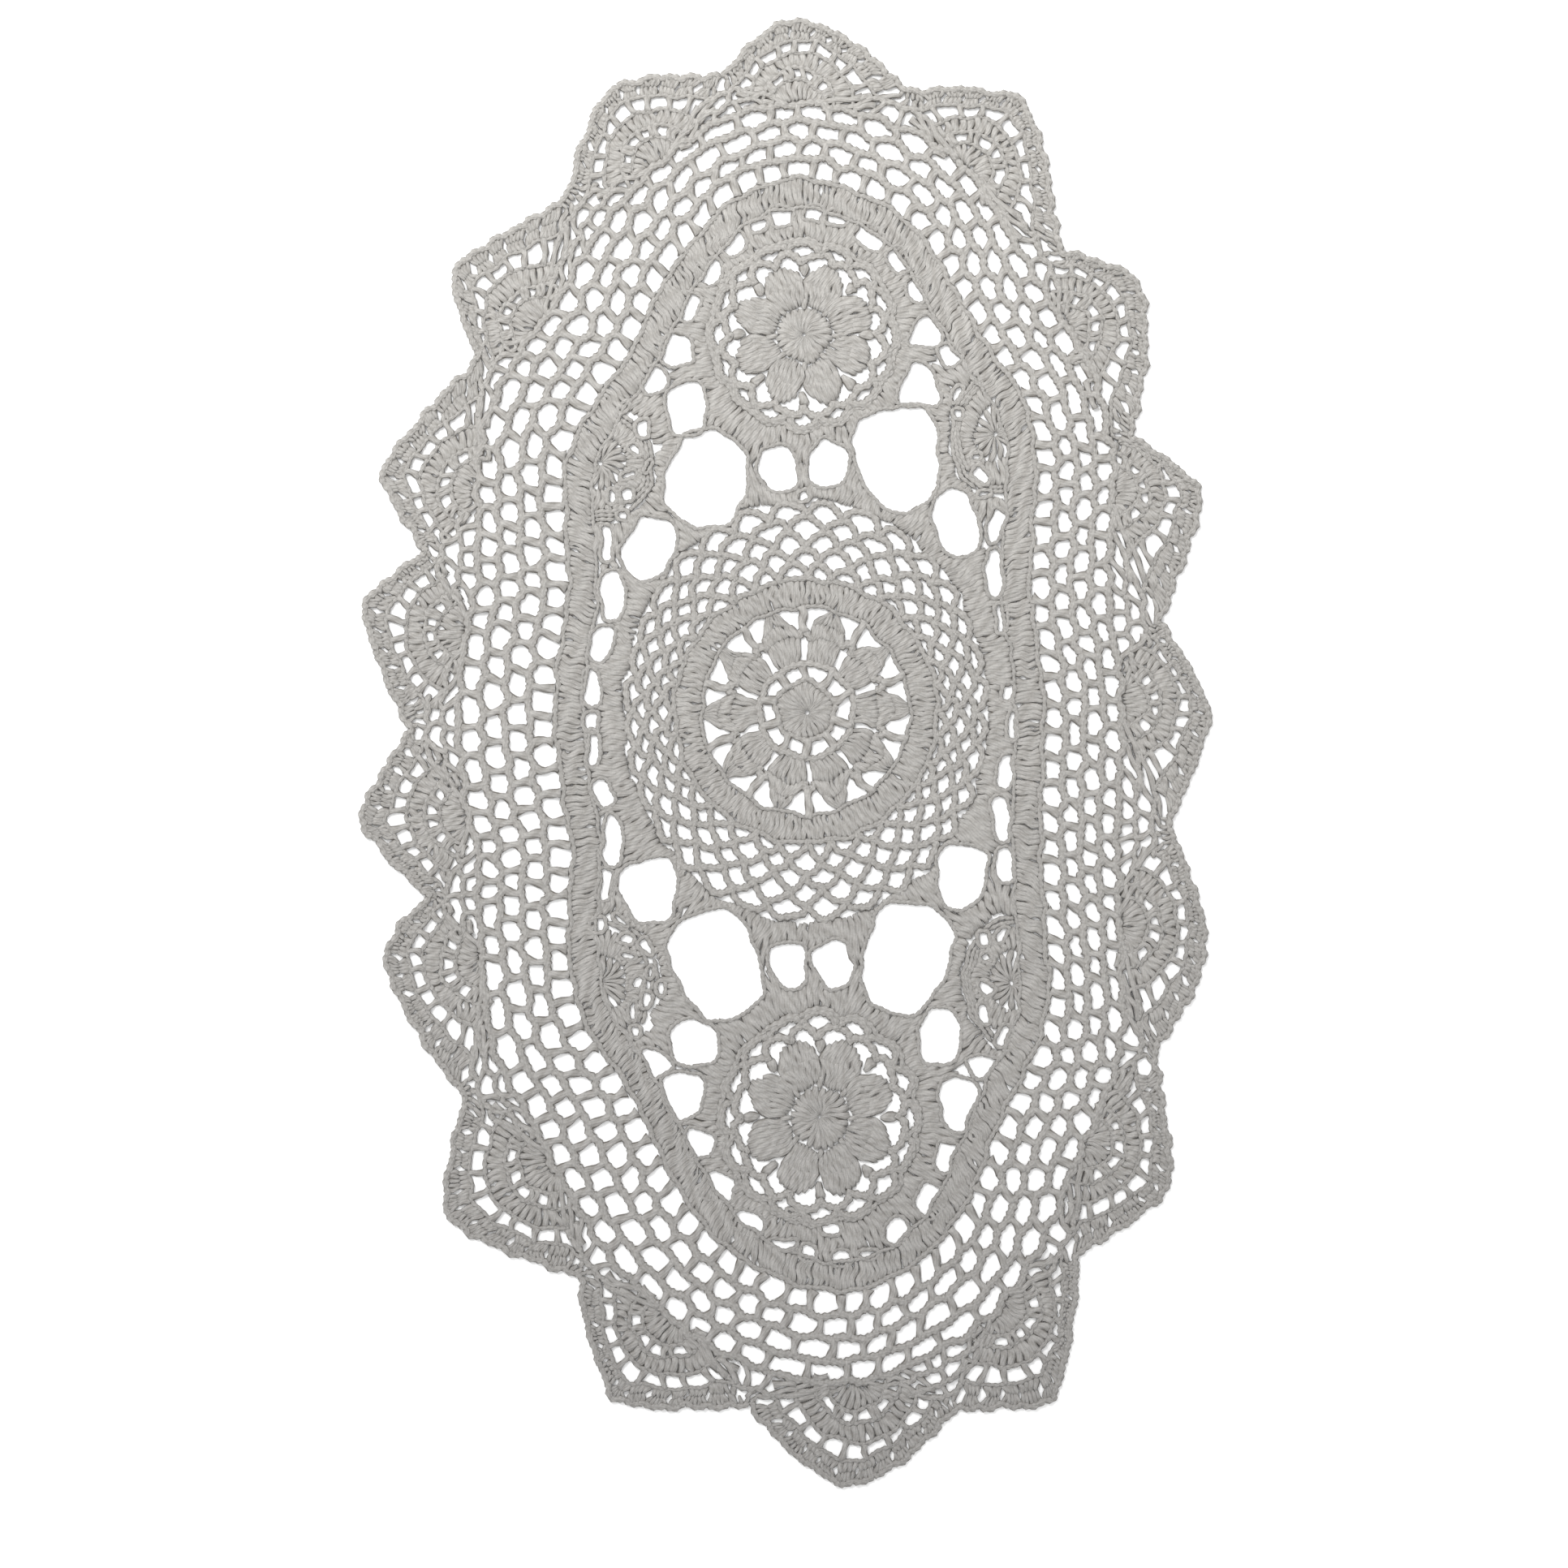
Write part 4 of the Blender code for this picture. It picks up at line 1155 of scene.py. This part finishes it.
@dataclass
class MiddleFlower(Zone):
    """The flower in the middle: disc, ten leaf petals, a ring of tall stitches and an arched net."""

    name: str = "middle_flower"
    seed: int = 41
    flat: tuple[float, float] = (0.125, 0.144)
    area: float = 0.01415
    x: float = 7.6
    y: float = 14.5
    petals: int = 10
    turn: float = np.radians(2.0)
    disc: tuple[float, float] = (0.7, 10.0)
    disc_widths: tuple[float, float] = (0.6, 3.0)
    disc_posts: int = 30
    spoke: tuple[float, float] = (9.6, 16.2)
    petal_foot: float = 16.0
    bar: tuple[float, float] = (26.8, 36.0)
    petal_rows: tuple[tuple[float, float, float], ...] = (
        (16.2, 3.4, 0.0), (25.6, 5.7, 0.06), (30.6, 4.1, 0.05), (35.4, 1.0, 0.0))
    petal_posts: int = 8
    petal_slits: float = 0.16
    tie_end: float = 8.4
    tie_reach: tuple[float, float] = (-1.8, 1.3)
    ring: tuple[float, float] = (35.4, 44.8)
    ring_widths: tuple[float, float] = (2.0, 2.6)
    ring_posts: int = 160
    slits: float = 0.30
    net_half: tuple[float, float] = (61.4, 71.3)
    arches: int = 32
    arch_rounds: int = 5
    arch_points: int = 14
    arch_power: float = 0.6
    hoop_points: int = 120

    def at(self, radius: np.ndarray, angle: np.ndarray) -> Plan:
        """Points at a radius and angle about the flower's middle."""
        return polar(self.x, self.y, radius, angle)

    def petal_frame(self, petal: int, out: np.ndarray, across: np.ndarray) -> Plan:
        """Points out along a petal's middle line and across it."""
        angle = self.turn + TAU * petal / self.petals
        along, side = np.array([np.cos(angle), np.sin(angle)]), np.array([-np.sin(angle), np.cos(angle)])
        return np.array([self.x, self.y]) + np.outer(out, along) + np.outer(across, side)

    def hoop(self, work: YarnWork, radius: float, stitch: Stitch) -> None:
        """A closed chain at one radius."""
        work.cord(self.at(radius, full_turn(self.hoop_points))[::-1], stitch, closed=True)

    def work_on(self, work: YarnWork) -> None:
        """Works the flower from its disc out to the net."""
        angle = spread(self.disc_posts)
        work.posts(self.at(self.disc[0], angle), self.at(self.disc[1], angle), Stitch.FAN_POST,
                   self.disc_widths)
        self.hoop(work, self.disc[1], Stitch.HEAD_CHAIN)
        between = self.turn + spread(self.petals)
        work.posts(self.at(self.spoke[0], between), self.at(self.spoke[1], between), Stitch.NET_BAR)
        for petal in range(self.petals):
            self.petal(work, petal)
        self.hoop(work, self.petal_foot, Stitch.ARCH_CHAIN)
        work.posts(self.at(self.bar[0], between), self.at(self.bar[1], between), Stitch.NET_BAR)
        angle = spread(self.ring_posts)
        work.posts(self.at(self.ring[0], angle), self.at(self.ring[1], angle), Stitch.BAND_POST,
                   self.ring_widths, slits=self.slits)
        self.hoop(work, self.ring[0], Stitch.RIM_CHAIN)
        self.hoop(work, self.ring[1], Stitch.HEAD_CHAIN)
        self.arched_net(work)

    def petal(self, work: YarnWork, petal: int) -> None:
        """One leaf petal: rows that widen, then close to the tip, and a short tie to each side of it."""
        across = np.linspace(-1.0, 1.0, self.petal_posts)
        lines = [self.petal_frame(petal, radius * (1.0 - bow * across ** 2), across * half)
                 for radius, half, bow in self.petal_rows]
        for low, high in zip(lines[:-1], lines[1:]):
            work.row(low + ROW_OVERLAP * (low - high), high, Stitch.FAN_POST, slits=self.petal_slits,
                     rings=ROW_RINGS)
        radius, half, _ = self.petal_rows[1]
        for side in (-1.0, 1.0):
            ends = self.petal_frame(petal, radius + np.array(self.tie_reach),
                                    side * np.array([half, self.tie_end]))
            work.cord(ends, Stitch.LOOP_CHAIN)

    def net_radius(self, share: np.ndarray, angle: np.ndarray) -> np.ndarray:
        """Radius in the net: from the ring's outer edge, share 0, to the net's outer oval, share 1."""
        outer = ellipse_radius(self.net_half[0], self.net_half[1], angle)
        return blend(self.ring[1], outer, share)

    def arched_net(self, work: YarnWork) -> None:
        """Rounds of chain arches, each standing on the crowns of the arches below.

        An arch's height over its foot is |sin| ** power of the place along it, so its feet meet in a
        narrow joint on the crown below.
        """
        angle = full_turn(self.arches * self.arch_points)
        for line in range(self.arch_rounds):
            arch = np.abs(np.sin(np.pi * (angle / TAU * self.arches + 0.5 * (line % 2)))) ** self.arch_power
            share = (line + arch) / self.arch_rounds
            work.cord(self.at(self.net_radius(share, angle), angle)[::-1], Stitch.ARCH_CHAIN, closed=True)


@dataclass
class RoundMedallion(Zone):
    """A round medallion at one end of the mat: a disc, eight bun petals and two rounds of chain loops."""

    x: float
    y: float
    stretch_x: float
    stretch_y: float
    turn: float = np.radians(22.5)
    buns: int = 8
    disc: tuple[float, float] = (0.6, 9.3)
    disc_widths: tuple[float, float] = (0.6, 3.3)
    disc_posts: int = 24
    bun_rows: tuple[tuple[float, float, float], ...] = (
        (9.35, 3.5, -0.08), (17.2, 6.1, 0.02), (24.7, 4.7, 0.13))
    bun_posts: int = 8
    bun_overlap: float = 0.2
    bun_slits: float = 0.05
    tie: tuple[float, float] = (9.0, 12.4)
    bridge: tuple[float, float] = (19.6, 24.4)
    bridge_widths: tuple[float, float] = (2.2, 4.4)
    loops: int = 16
    loop_radii: tuple[float, float, float] = (24.4, 27.8, 31.6)
    loop_points: int = 14
    loop_power: float = 0.55

    def at(self, radius: np.ndarray, angle: np.ndarray) -> Plan:
        """Points at a radius and angle, stretched across and along."""
        spot = polar(0.0, 0.0, np.asarray(radius, float), np.asarray(angle, float))
        return np.array([self.x, self.y]) + spot * np.array([self.stretch_x, self.stretch_y])

    def work_on(self, work: YarnWork) -> None:
        """Works the medallion from its disc out to its loops."""
        angle = spread(self.disc_posts)
        work.posts(self.at(self.disc[0], angle), self.at(self.disc[1], angle), Stitch.FAN_POST,
                   self.disc_widths)
        for bun in range(self.buns):
            self.bun(work, self.turn + TAU * bun / self.buns)
        between = self.turn + spread(self.buns)
        for (low, high), widths in ((self.tie, None), (self.bridge, self.bridge_widths)):
            work.posts(self.at(low, between), self.at(high, between), Stitch.FAN_POST, widths, SHORT_RINGS)
        for line in (0, 1):
            self.loop_round(work, line)

    def bun(self, work: YarnWork, middle: float) -> None:
        """One bun petal: stitches that spread from a narrow foot and close again at a round top."""
        across = np.linspace(-1.0, 1.0, self.bun_posts)
        lines = []
        for radius, half, bow in self.bun_rows:
            out = radius * (1.0 - bow * across ** 2)
            side = across * half
            lines.append(self.at(np.hypot(out, side), middle + np.arctan2(side, out)))
        foot, waist, top = lines
        below, above = blend(waist, foot, self.bun_overlap), blend(waist, top, self.bun_overlap)
        for low, high in ((below, top), (foot, above)):
            work.row(low, high, Stitch.FAN_POST, slits=self.bun_slits, rings=ROW_RINGS)

    def loop_round(self, work: YarnWork, line: int) -> None:
        """A round of chain loops, |sin| ** power high, their feet on the crowns of the loops below."""
        angle = full_turn(self.loops * self.loop_points)
        arch = np.abs(np.sin(np.pi * (angle / TAU * self.loops + 0.5 * line))) ** self.loop_power
        radius = blend(self.loop_radii[line], self.loop_radii[line + 1], arch)
        work.cord(self.at(radius, angle)[::-1], Stitch.LOOP_CHAIN, closed=True)


class FanBase(NamedTuple):
    """The line that a medallion's fans stand on.

    It is an ellipse (middle and half sizes) that bulges out under each of its fans; first is the
    angle at which the first fan starts.
    """

    x: float
    y: float
    half_x: float
    half_y: float
    fans: int
    first: float
    bulge: float

    def oval(self, share: np.ndarray, angle: np.ndarray) -> Plan:
        """Points of the base's ellipse at angles, at a share of its radius."""
        return polar(self.x, self.y, share * ellipse_radius(self.half_x, self.half_y, angle), angle)


FAN_BASES = tuple(FanBase(*row) for row in (
    (7.6, 14.5, 60.6, 70.5, 16, np.pi / 32, 2.0), (6.8, 142.5, 31.0, 31.0, 16, np.pi / 16, 1.6),
    (12.3, -124.0, 32.9, 35.1, 16, np.pi / 16, 1.6), (-62.2, 99.0, 18.2, 20.5, 12, 0.0, 1.0),
    (72.0, 108.8, 15.2, 21.5, 12, 0.0, 1.0), (-62.2, -78.2, 19.5, 22.5, 12, 0.0, 1.0),
    (77.5, -77.5, 16.5, 22.5, 12, 0.0, 1.0),
))
SIDE_BASES = FAN_BASES[3:]


@dataclass
class JoiningFans(Zone):
    """The solid fans between the medallions and the band, and the chains round the holes they leave.

    Each stitch of a fan runs straight out from its medallion until it meets a hole, the band or
    the ground of the next medallion. A pair of margins is for holes first and then for the band.
    """

    name: str = "joining_fans"
    seed: int = 53
    flat: tuple[float, float] = (0.150, 0.364)
    area: float = 0.0267
    pitch: float = 1.62
    cover: float = 1.56
    slits: float = 0.34
    fan_widths: tuple[float, float] = (1.0, 3.0)
    shortest_fan: float = 1.2
    fan_lap: tuple[float, float] = (0.4, 0.3)
    samples: int = 25
    hole_margin: float = 0.3
    band_lap: float = 0.4
    shortest: float = 1.1
    side_rows: tuple[tuple[float, float], ...] = ((0.04, 0.44), (0.44, 0.82))
    side_widths: tuple[float, float] = (0.6, 2.8)
    side_chains: tuple[float, ...] = (0.835, 0.905, 0.975)
    side_points: int = 160
    side_slits: float = 0.12
    cord_margin: tuple[float, float] = (0.7, 0.2)
    cord_corners: int = 6
    base_margin: tuple[float, float] = (0.2, 0.6)
    base_points: int = 1200
    ring_points: int = 200
    nudge: float = 0.01
    step: float = 0.3
    reach: float = 34.0
    squareness: float = 2.8
    rim_points: int = 40
    rim_margin: float = 0.55
    small_rim_margin: float = 0.4
    least_rim: float = 5.4

    def in_hole(self, points: Plan, margin: float, holes: tuple[JoinHole, ...] = JOIN_HOLES) -> np.ndarray:
        """Whether points lie in a hole drawn out by a margin: |x / a|^n + |y / b|^n < 1, a wider on top."""
        inside = np.zeros(points.shape[:-1], bool)
        for hole in holes:
            turn = np.radians(hole.turn)
            away = points - np.array([hole.x, hole.y])
            across = away[..., 0] * np.cos(turn) + away[..., 1] * np.sin(turn)
            along = -away[..., 0] * np.sin(turn) + away[..., 1] * np.cos(turn)
            up = along / (hole.height / 2 + margin)
            half = (hole.width / 2 + margin) * (1.0 + hole.pinch * np.clip(up, -1.0, 1.0))
            inside |= (np.abs(across / half) ** self.squareness + np.abs(up) ** self.squareness) < 1.0
        return inside

    def broken_row(self, work: YarnWork, base: Plan, top: Plan, widths: tuple[np.ndarray, np.ndarray],
                   slits: float) -> None:
        """Tall stitches that break off at small holes and go on beyond them."""
        share = np.linspace(0.0, 1.0, self.samples)
        points = blend(base[:, None], top[:, None], share[:, None])
        in_band = PLAN.inside_band(points, -self.band_lap)
        free = in_band & ~self.in_hole(points, self.hole_margin, SMALL_HOLES)
        shut = np.zeros((len(base), 1), bool)
        post, first = np.nonzero(free & ~np.hstack([shut, free[:, :-1]]))
        last = np.nonzero(free & ~np.hstack([free[:, 1:], shut]))[1]
        keep = (share[last] - share[first]) * np.linalg.norm(top - base, axis=1)[post] > self.shortest
        post, first, last = post[keep], first[keep], last[keep]
        room = tuple(blend(widths[0][post], widths[1][post], share[place]) for place in (first, last))
        work.posts(points[post, first], points[post, last], Stitch.FAN_POST, room, ROW_RINGS, slits=slits)

    def side_medallion(self, work: YarnWork, base: FanBase) -> None:
        """Works a side medallion up to the band that lies over it: rows of stitches round its middle."""
        for low, high in self.side_rows:
            mean = 0.5 * (low + high) * 0.5 * (base.half_x + base.half_y)
            angle = spread(int(TAU * mean / self.pitch))
            ends = [base.oval(share, angle) for share in (low, high)]
            rooms = [np.linalg.norm(np.roll(line, -1, axis=0) - line, axis=1) for line in ends]
            widths = tuple(np.clip(self.cover * room, *self.side_widths) for room in rooms)
            self.broken_row(work, ends[0], ends[1], widths, self.side_slits)
        for share in self.side_chains:
            self.broken_cord(work, base.oval(share, full_turn(self.side_points)))

    def broken_cord(self, work: YarnWork, line: Plan) -> None:
        """A chain along the parts of a closed line that lie inside the band and outside every hole."""
        hole_margin, band_margin = self.cord_margin
        in_band = PLAN.inside_band(line, band_margin)
        free = in_band & ~self.in_hole(line, hole_margin, JOIN_HOLES + SMALL_HOLES)
        start = int(np.argmin(free))
        line, free = np.roll(line, -start, axis=0), np.roll(free, -start)
        marks = np.flatnonzero(np.diff(np.concatenate([[0], free.astype(int), [0]])))
        for first, last in zip(marks[::2], marks[1::2]):
            if last - first > self.cord_corners:
                work.cord(line[first:last], Stitch.THIN_CHAIN)

    def beyond(self, base: FanBase, points: Plan) -> np.ndarray:
        """How far points lie outside a fan base, measured along the line from its middle."""
        away = points - np.array([base.x, base.y])
        distance = np.linalg.norm(away, axis=-1)
        angle = np.arctan2(away[..., 1], away[..., 0])
        return distance - ellipse_radius(base.half_x, base.half_y, angle)

    def base_line(self, base: FanBase, angle: np.ndarray) -> Plan:
        """Points on a fan base: an ellipse that bulges out in the middle of each fan."""
        fan = np.abs(np.sin(0.5 * base.fans * (angle - base.first)))
        radius = ellipse_radius(base.half_x, base.half_y, angle) + base.bulge * fan
        return polar(base.x, base.y, radius, angle)

    def work_on(self, work: YarnWork) -> None:
        """Works the side medallions, the fans and the chains round the holes."""
        for base in SIDE_BASES:
            self.side_medallion(work, base)
        work.cord(PLAN.inner_edge.points[:-1], Stitch.RIM_CHAIN, closed=True)
        for number, base in enumerate(FAN_BASES):
            self.fans(work, number, base)
        for hole in JOIN_HOLES:
            self.rim(work, hole, self.rim_margin, Stitch.RIM_CHAIN)
        for hole in SMALL_HOLES:
            if hole.width + hole.height > self.least_rim:
                self.rim(work, hole, self.small_rim_margin, Stitch.THIN_CHAIN)

    def rim(self, work: YarnWork, hole: JoinHole, margin: float, stitch: Stitch) -> None:
        """A chain round a hole, on the line |x / a|^n + |y / b|^n = 1."""
        angle, power = full_turn(self.rim_points), self.squareness
        box = (np.abs(np.cos(angle)) ** power + np.abs(np.sin(angle)) ** power) ** (-1.0 / power)
        across = (hole.width / 2 + margin) * box * np.cos(angle) * (1.0 + hole.pinch * box * np.sin(angle))
        along = (hole.height / 2 + margin) * box * np.sin(angle)
        turn = np.radians(hole.turn)
        line = np.stack([hole.x + across * np.cos(turn) - along * np.sin(turn),
                         hole.y + across * np.sin(turn) + along * np.cos(turn)], axis=1)
        work.cord(line[::-1], stitch, closed=True)

    def fans(self, work: YarnWork, number: int, base: FanBase) -> None:
        """Works the stitches that stand on one fan base, evenly along it and square to its ellipse."""
        fine = full_turn(self.base_points)
        smooth = Route(base.oval(1.0, fine), TAU)
        place = spread(int(smooth.length / self.pitch))
        foot_angle = np.interp(place / TAU * smooth.length, smooth.marks[:-1], fine)
        foot = self.base_line(base, foot_angle)
        along = base.oval(1.0, foot_angle + self.nudge) - base.oval(1.0, foot_angle - self.nudge)
        along /= np.linalg.norm(along, axis=1, keepdims=True)
        out = np.stack([along[:, 1], -along[:, 0]], axis=1)
        distance = np.arange(0.0, self.reach, self.step)
        samples = foot[:, None] + distance[None, :, None] * out[:, None]
        hole_lap, band_lap = self.fan_lap
        blocked = self.in_hole(samples, hole_lap) | ~PLAN.inside_band(samples, -band_lap)
        mine = self.beyond(base, samples)
        for other_number, other in enumerate(FAN_BASES):
            if other_number != number:
                blocked |= self.beyond(other, samples) < mine
        blocked[:, -1] = True
        length = distance[np.argmax(blocked, axis=1)]
        keep = length > self.shortest_fan
        top = foot + out * length[:, None]
        widths = []
        for away in (0.0 * length[:, None], length[:, None]):
            room = [np.linalg.norm(foot + out * away - np.roll(foot, step, axis=0)
                                   - np.roll(out, step, axis=0) * away, axis=1) for step in (1, -1)]
            widths.append(np.clip(self.cover * 0.5 * (room[0] + room[1]), *self.fan_widths)[keep])
        self.broken_row(work, foot[keep], top[keep], (widths[0], widths[1]), self.slits)
        ring = self.base_line(base, full_turn(self.ring_points))
        hole_margin, band_margin = self.base_margin
        if (PLAN.inside_band(ring, band_margin) & ~self.in_hole(ring, hole_margin)).all():
            work.cord(ring[::-1], Stitch.HEAD_CHAIN, closed=True)


# Studio
@dataclass
class Studio:
    """The table, the lights and the camera that looks straight down."""

    table_half: float = 4.0
    frame_width: float = 0.5342
    frame_x: float = 0.00014
    frame_y: float = -0.0104
    lens: float = 85.0
    sensor: float = 36.0
    key_power: float = 21.0
    key_place: tuple[float, float, float] = (-0.60, 0.95, 1.35)
    key_size: float = 0.7
    sky: float = 1.12

    def build(self) -> None:
        """Sets up the table, the key light, the soft sky and the camera."""
        half = self.table_half
        mesh = bpy.data.meshes.new("table_top")
        corners = [(-half, -half, 0.0), (half, -half, 0.0), (half, half, 0.0), (-half, half, 0.0)]
        mesh.from_pydata(corners, [], [(0, 1, 2, 3)])
        mesh.materials.append(TableFinish().make())
        table = bpy.data.objects.new("table_top", mesh)
        bpy.context.scene.collection.objects.link(table)
        light = bpy.data.lights.new("key", "AREA")
        light.energy = self.key_power
        light.shape = "DISK"
        light.size = self.key_size
        key = bpy.data.objects.new("key", light)
        key.location = self.key_place
        key.rotation_euler = (-Vector(self.key_place)).to_track_quat("-Z", "Y").to_euler()
        bpy.context.scene.collection.objects.link(key)
        world = bpy.data.worlds.new("soft_sky")
        world.use_nodes = True
        world.node_tree.nodes["Background"].inputs[0].default_value = (1.0, 1.0, 1.0, 1.0)
        world.node_tree.nodes["Background"].inputs[1].default_value = self.sky
        bpy.context.scene.world = world
        bpy.context.scene.view_settings.view_transform = "Standard"
        data = bpy.data.cameras.new("photo_camera")
        data.lens = self.lens
        data.sensor_width = self.sensor
        camera = bpy.data.objects.new("photo_camera", data)
        height = self.frame_width * self.lens / self.sensor
        camera.location = (self.frame_x, self.frame_y, height)
        bpy.context.scene.collection.objects.link(camera)
        bpy.context.scene.camera = camera


def main() -> None:
    """Builds the studio and works every zone of the mat."""
    logging.basicConfig(level=logging.INFO, format="%(message)s")
    Studio().build()
    yarn = CottonFinish().make()
    zones = (
        OvalBand(),
        NetGround(),
        ScallopBorder("right_border", 31, (0.026, 0.75), 0.0195, first=0, last=9),
        ScallopBorder("left_border", 40, (0.026, 0.66), 0.0171, first=9, last=17),
        MiddleFlower(),
        RoundMedallion("top_medallion", 61, (0.066, 0.066), 0.0033, 6.8, 142.5, 1.0, 1.0),
        RoundMedallion("bottom_medallion", 61, (0.070, 0.075), 0.0038, 12.3, -124.0, 1.06, 1.13),
        JoiningFans(),
    )
    for zone in zones:
        zone.build(yarn)


if __name__ == "__main__":
    main()
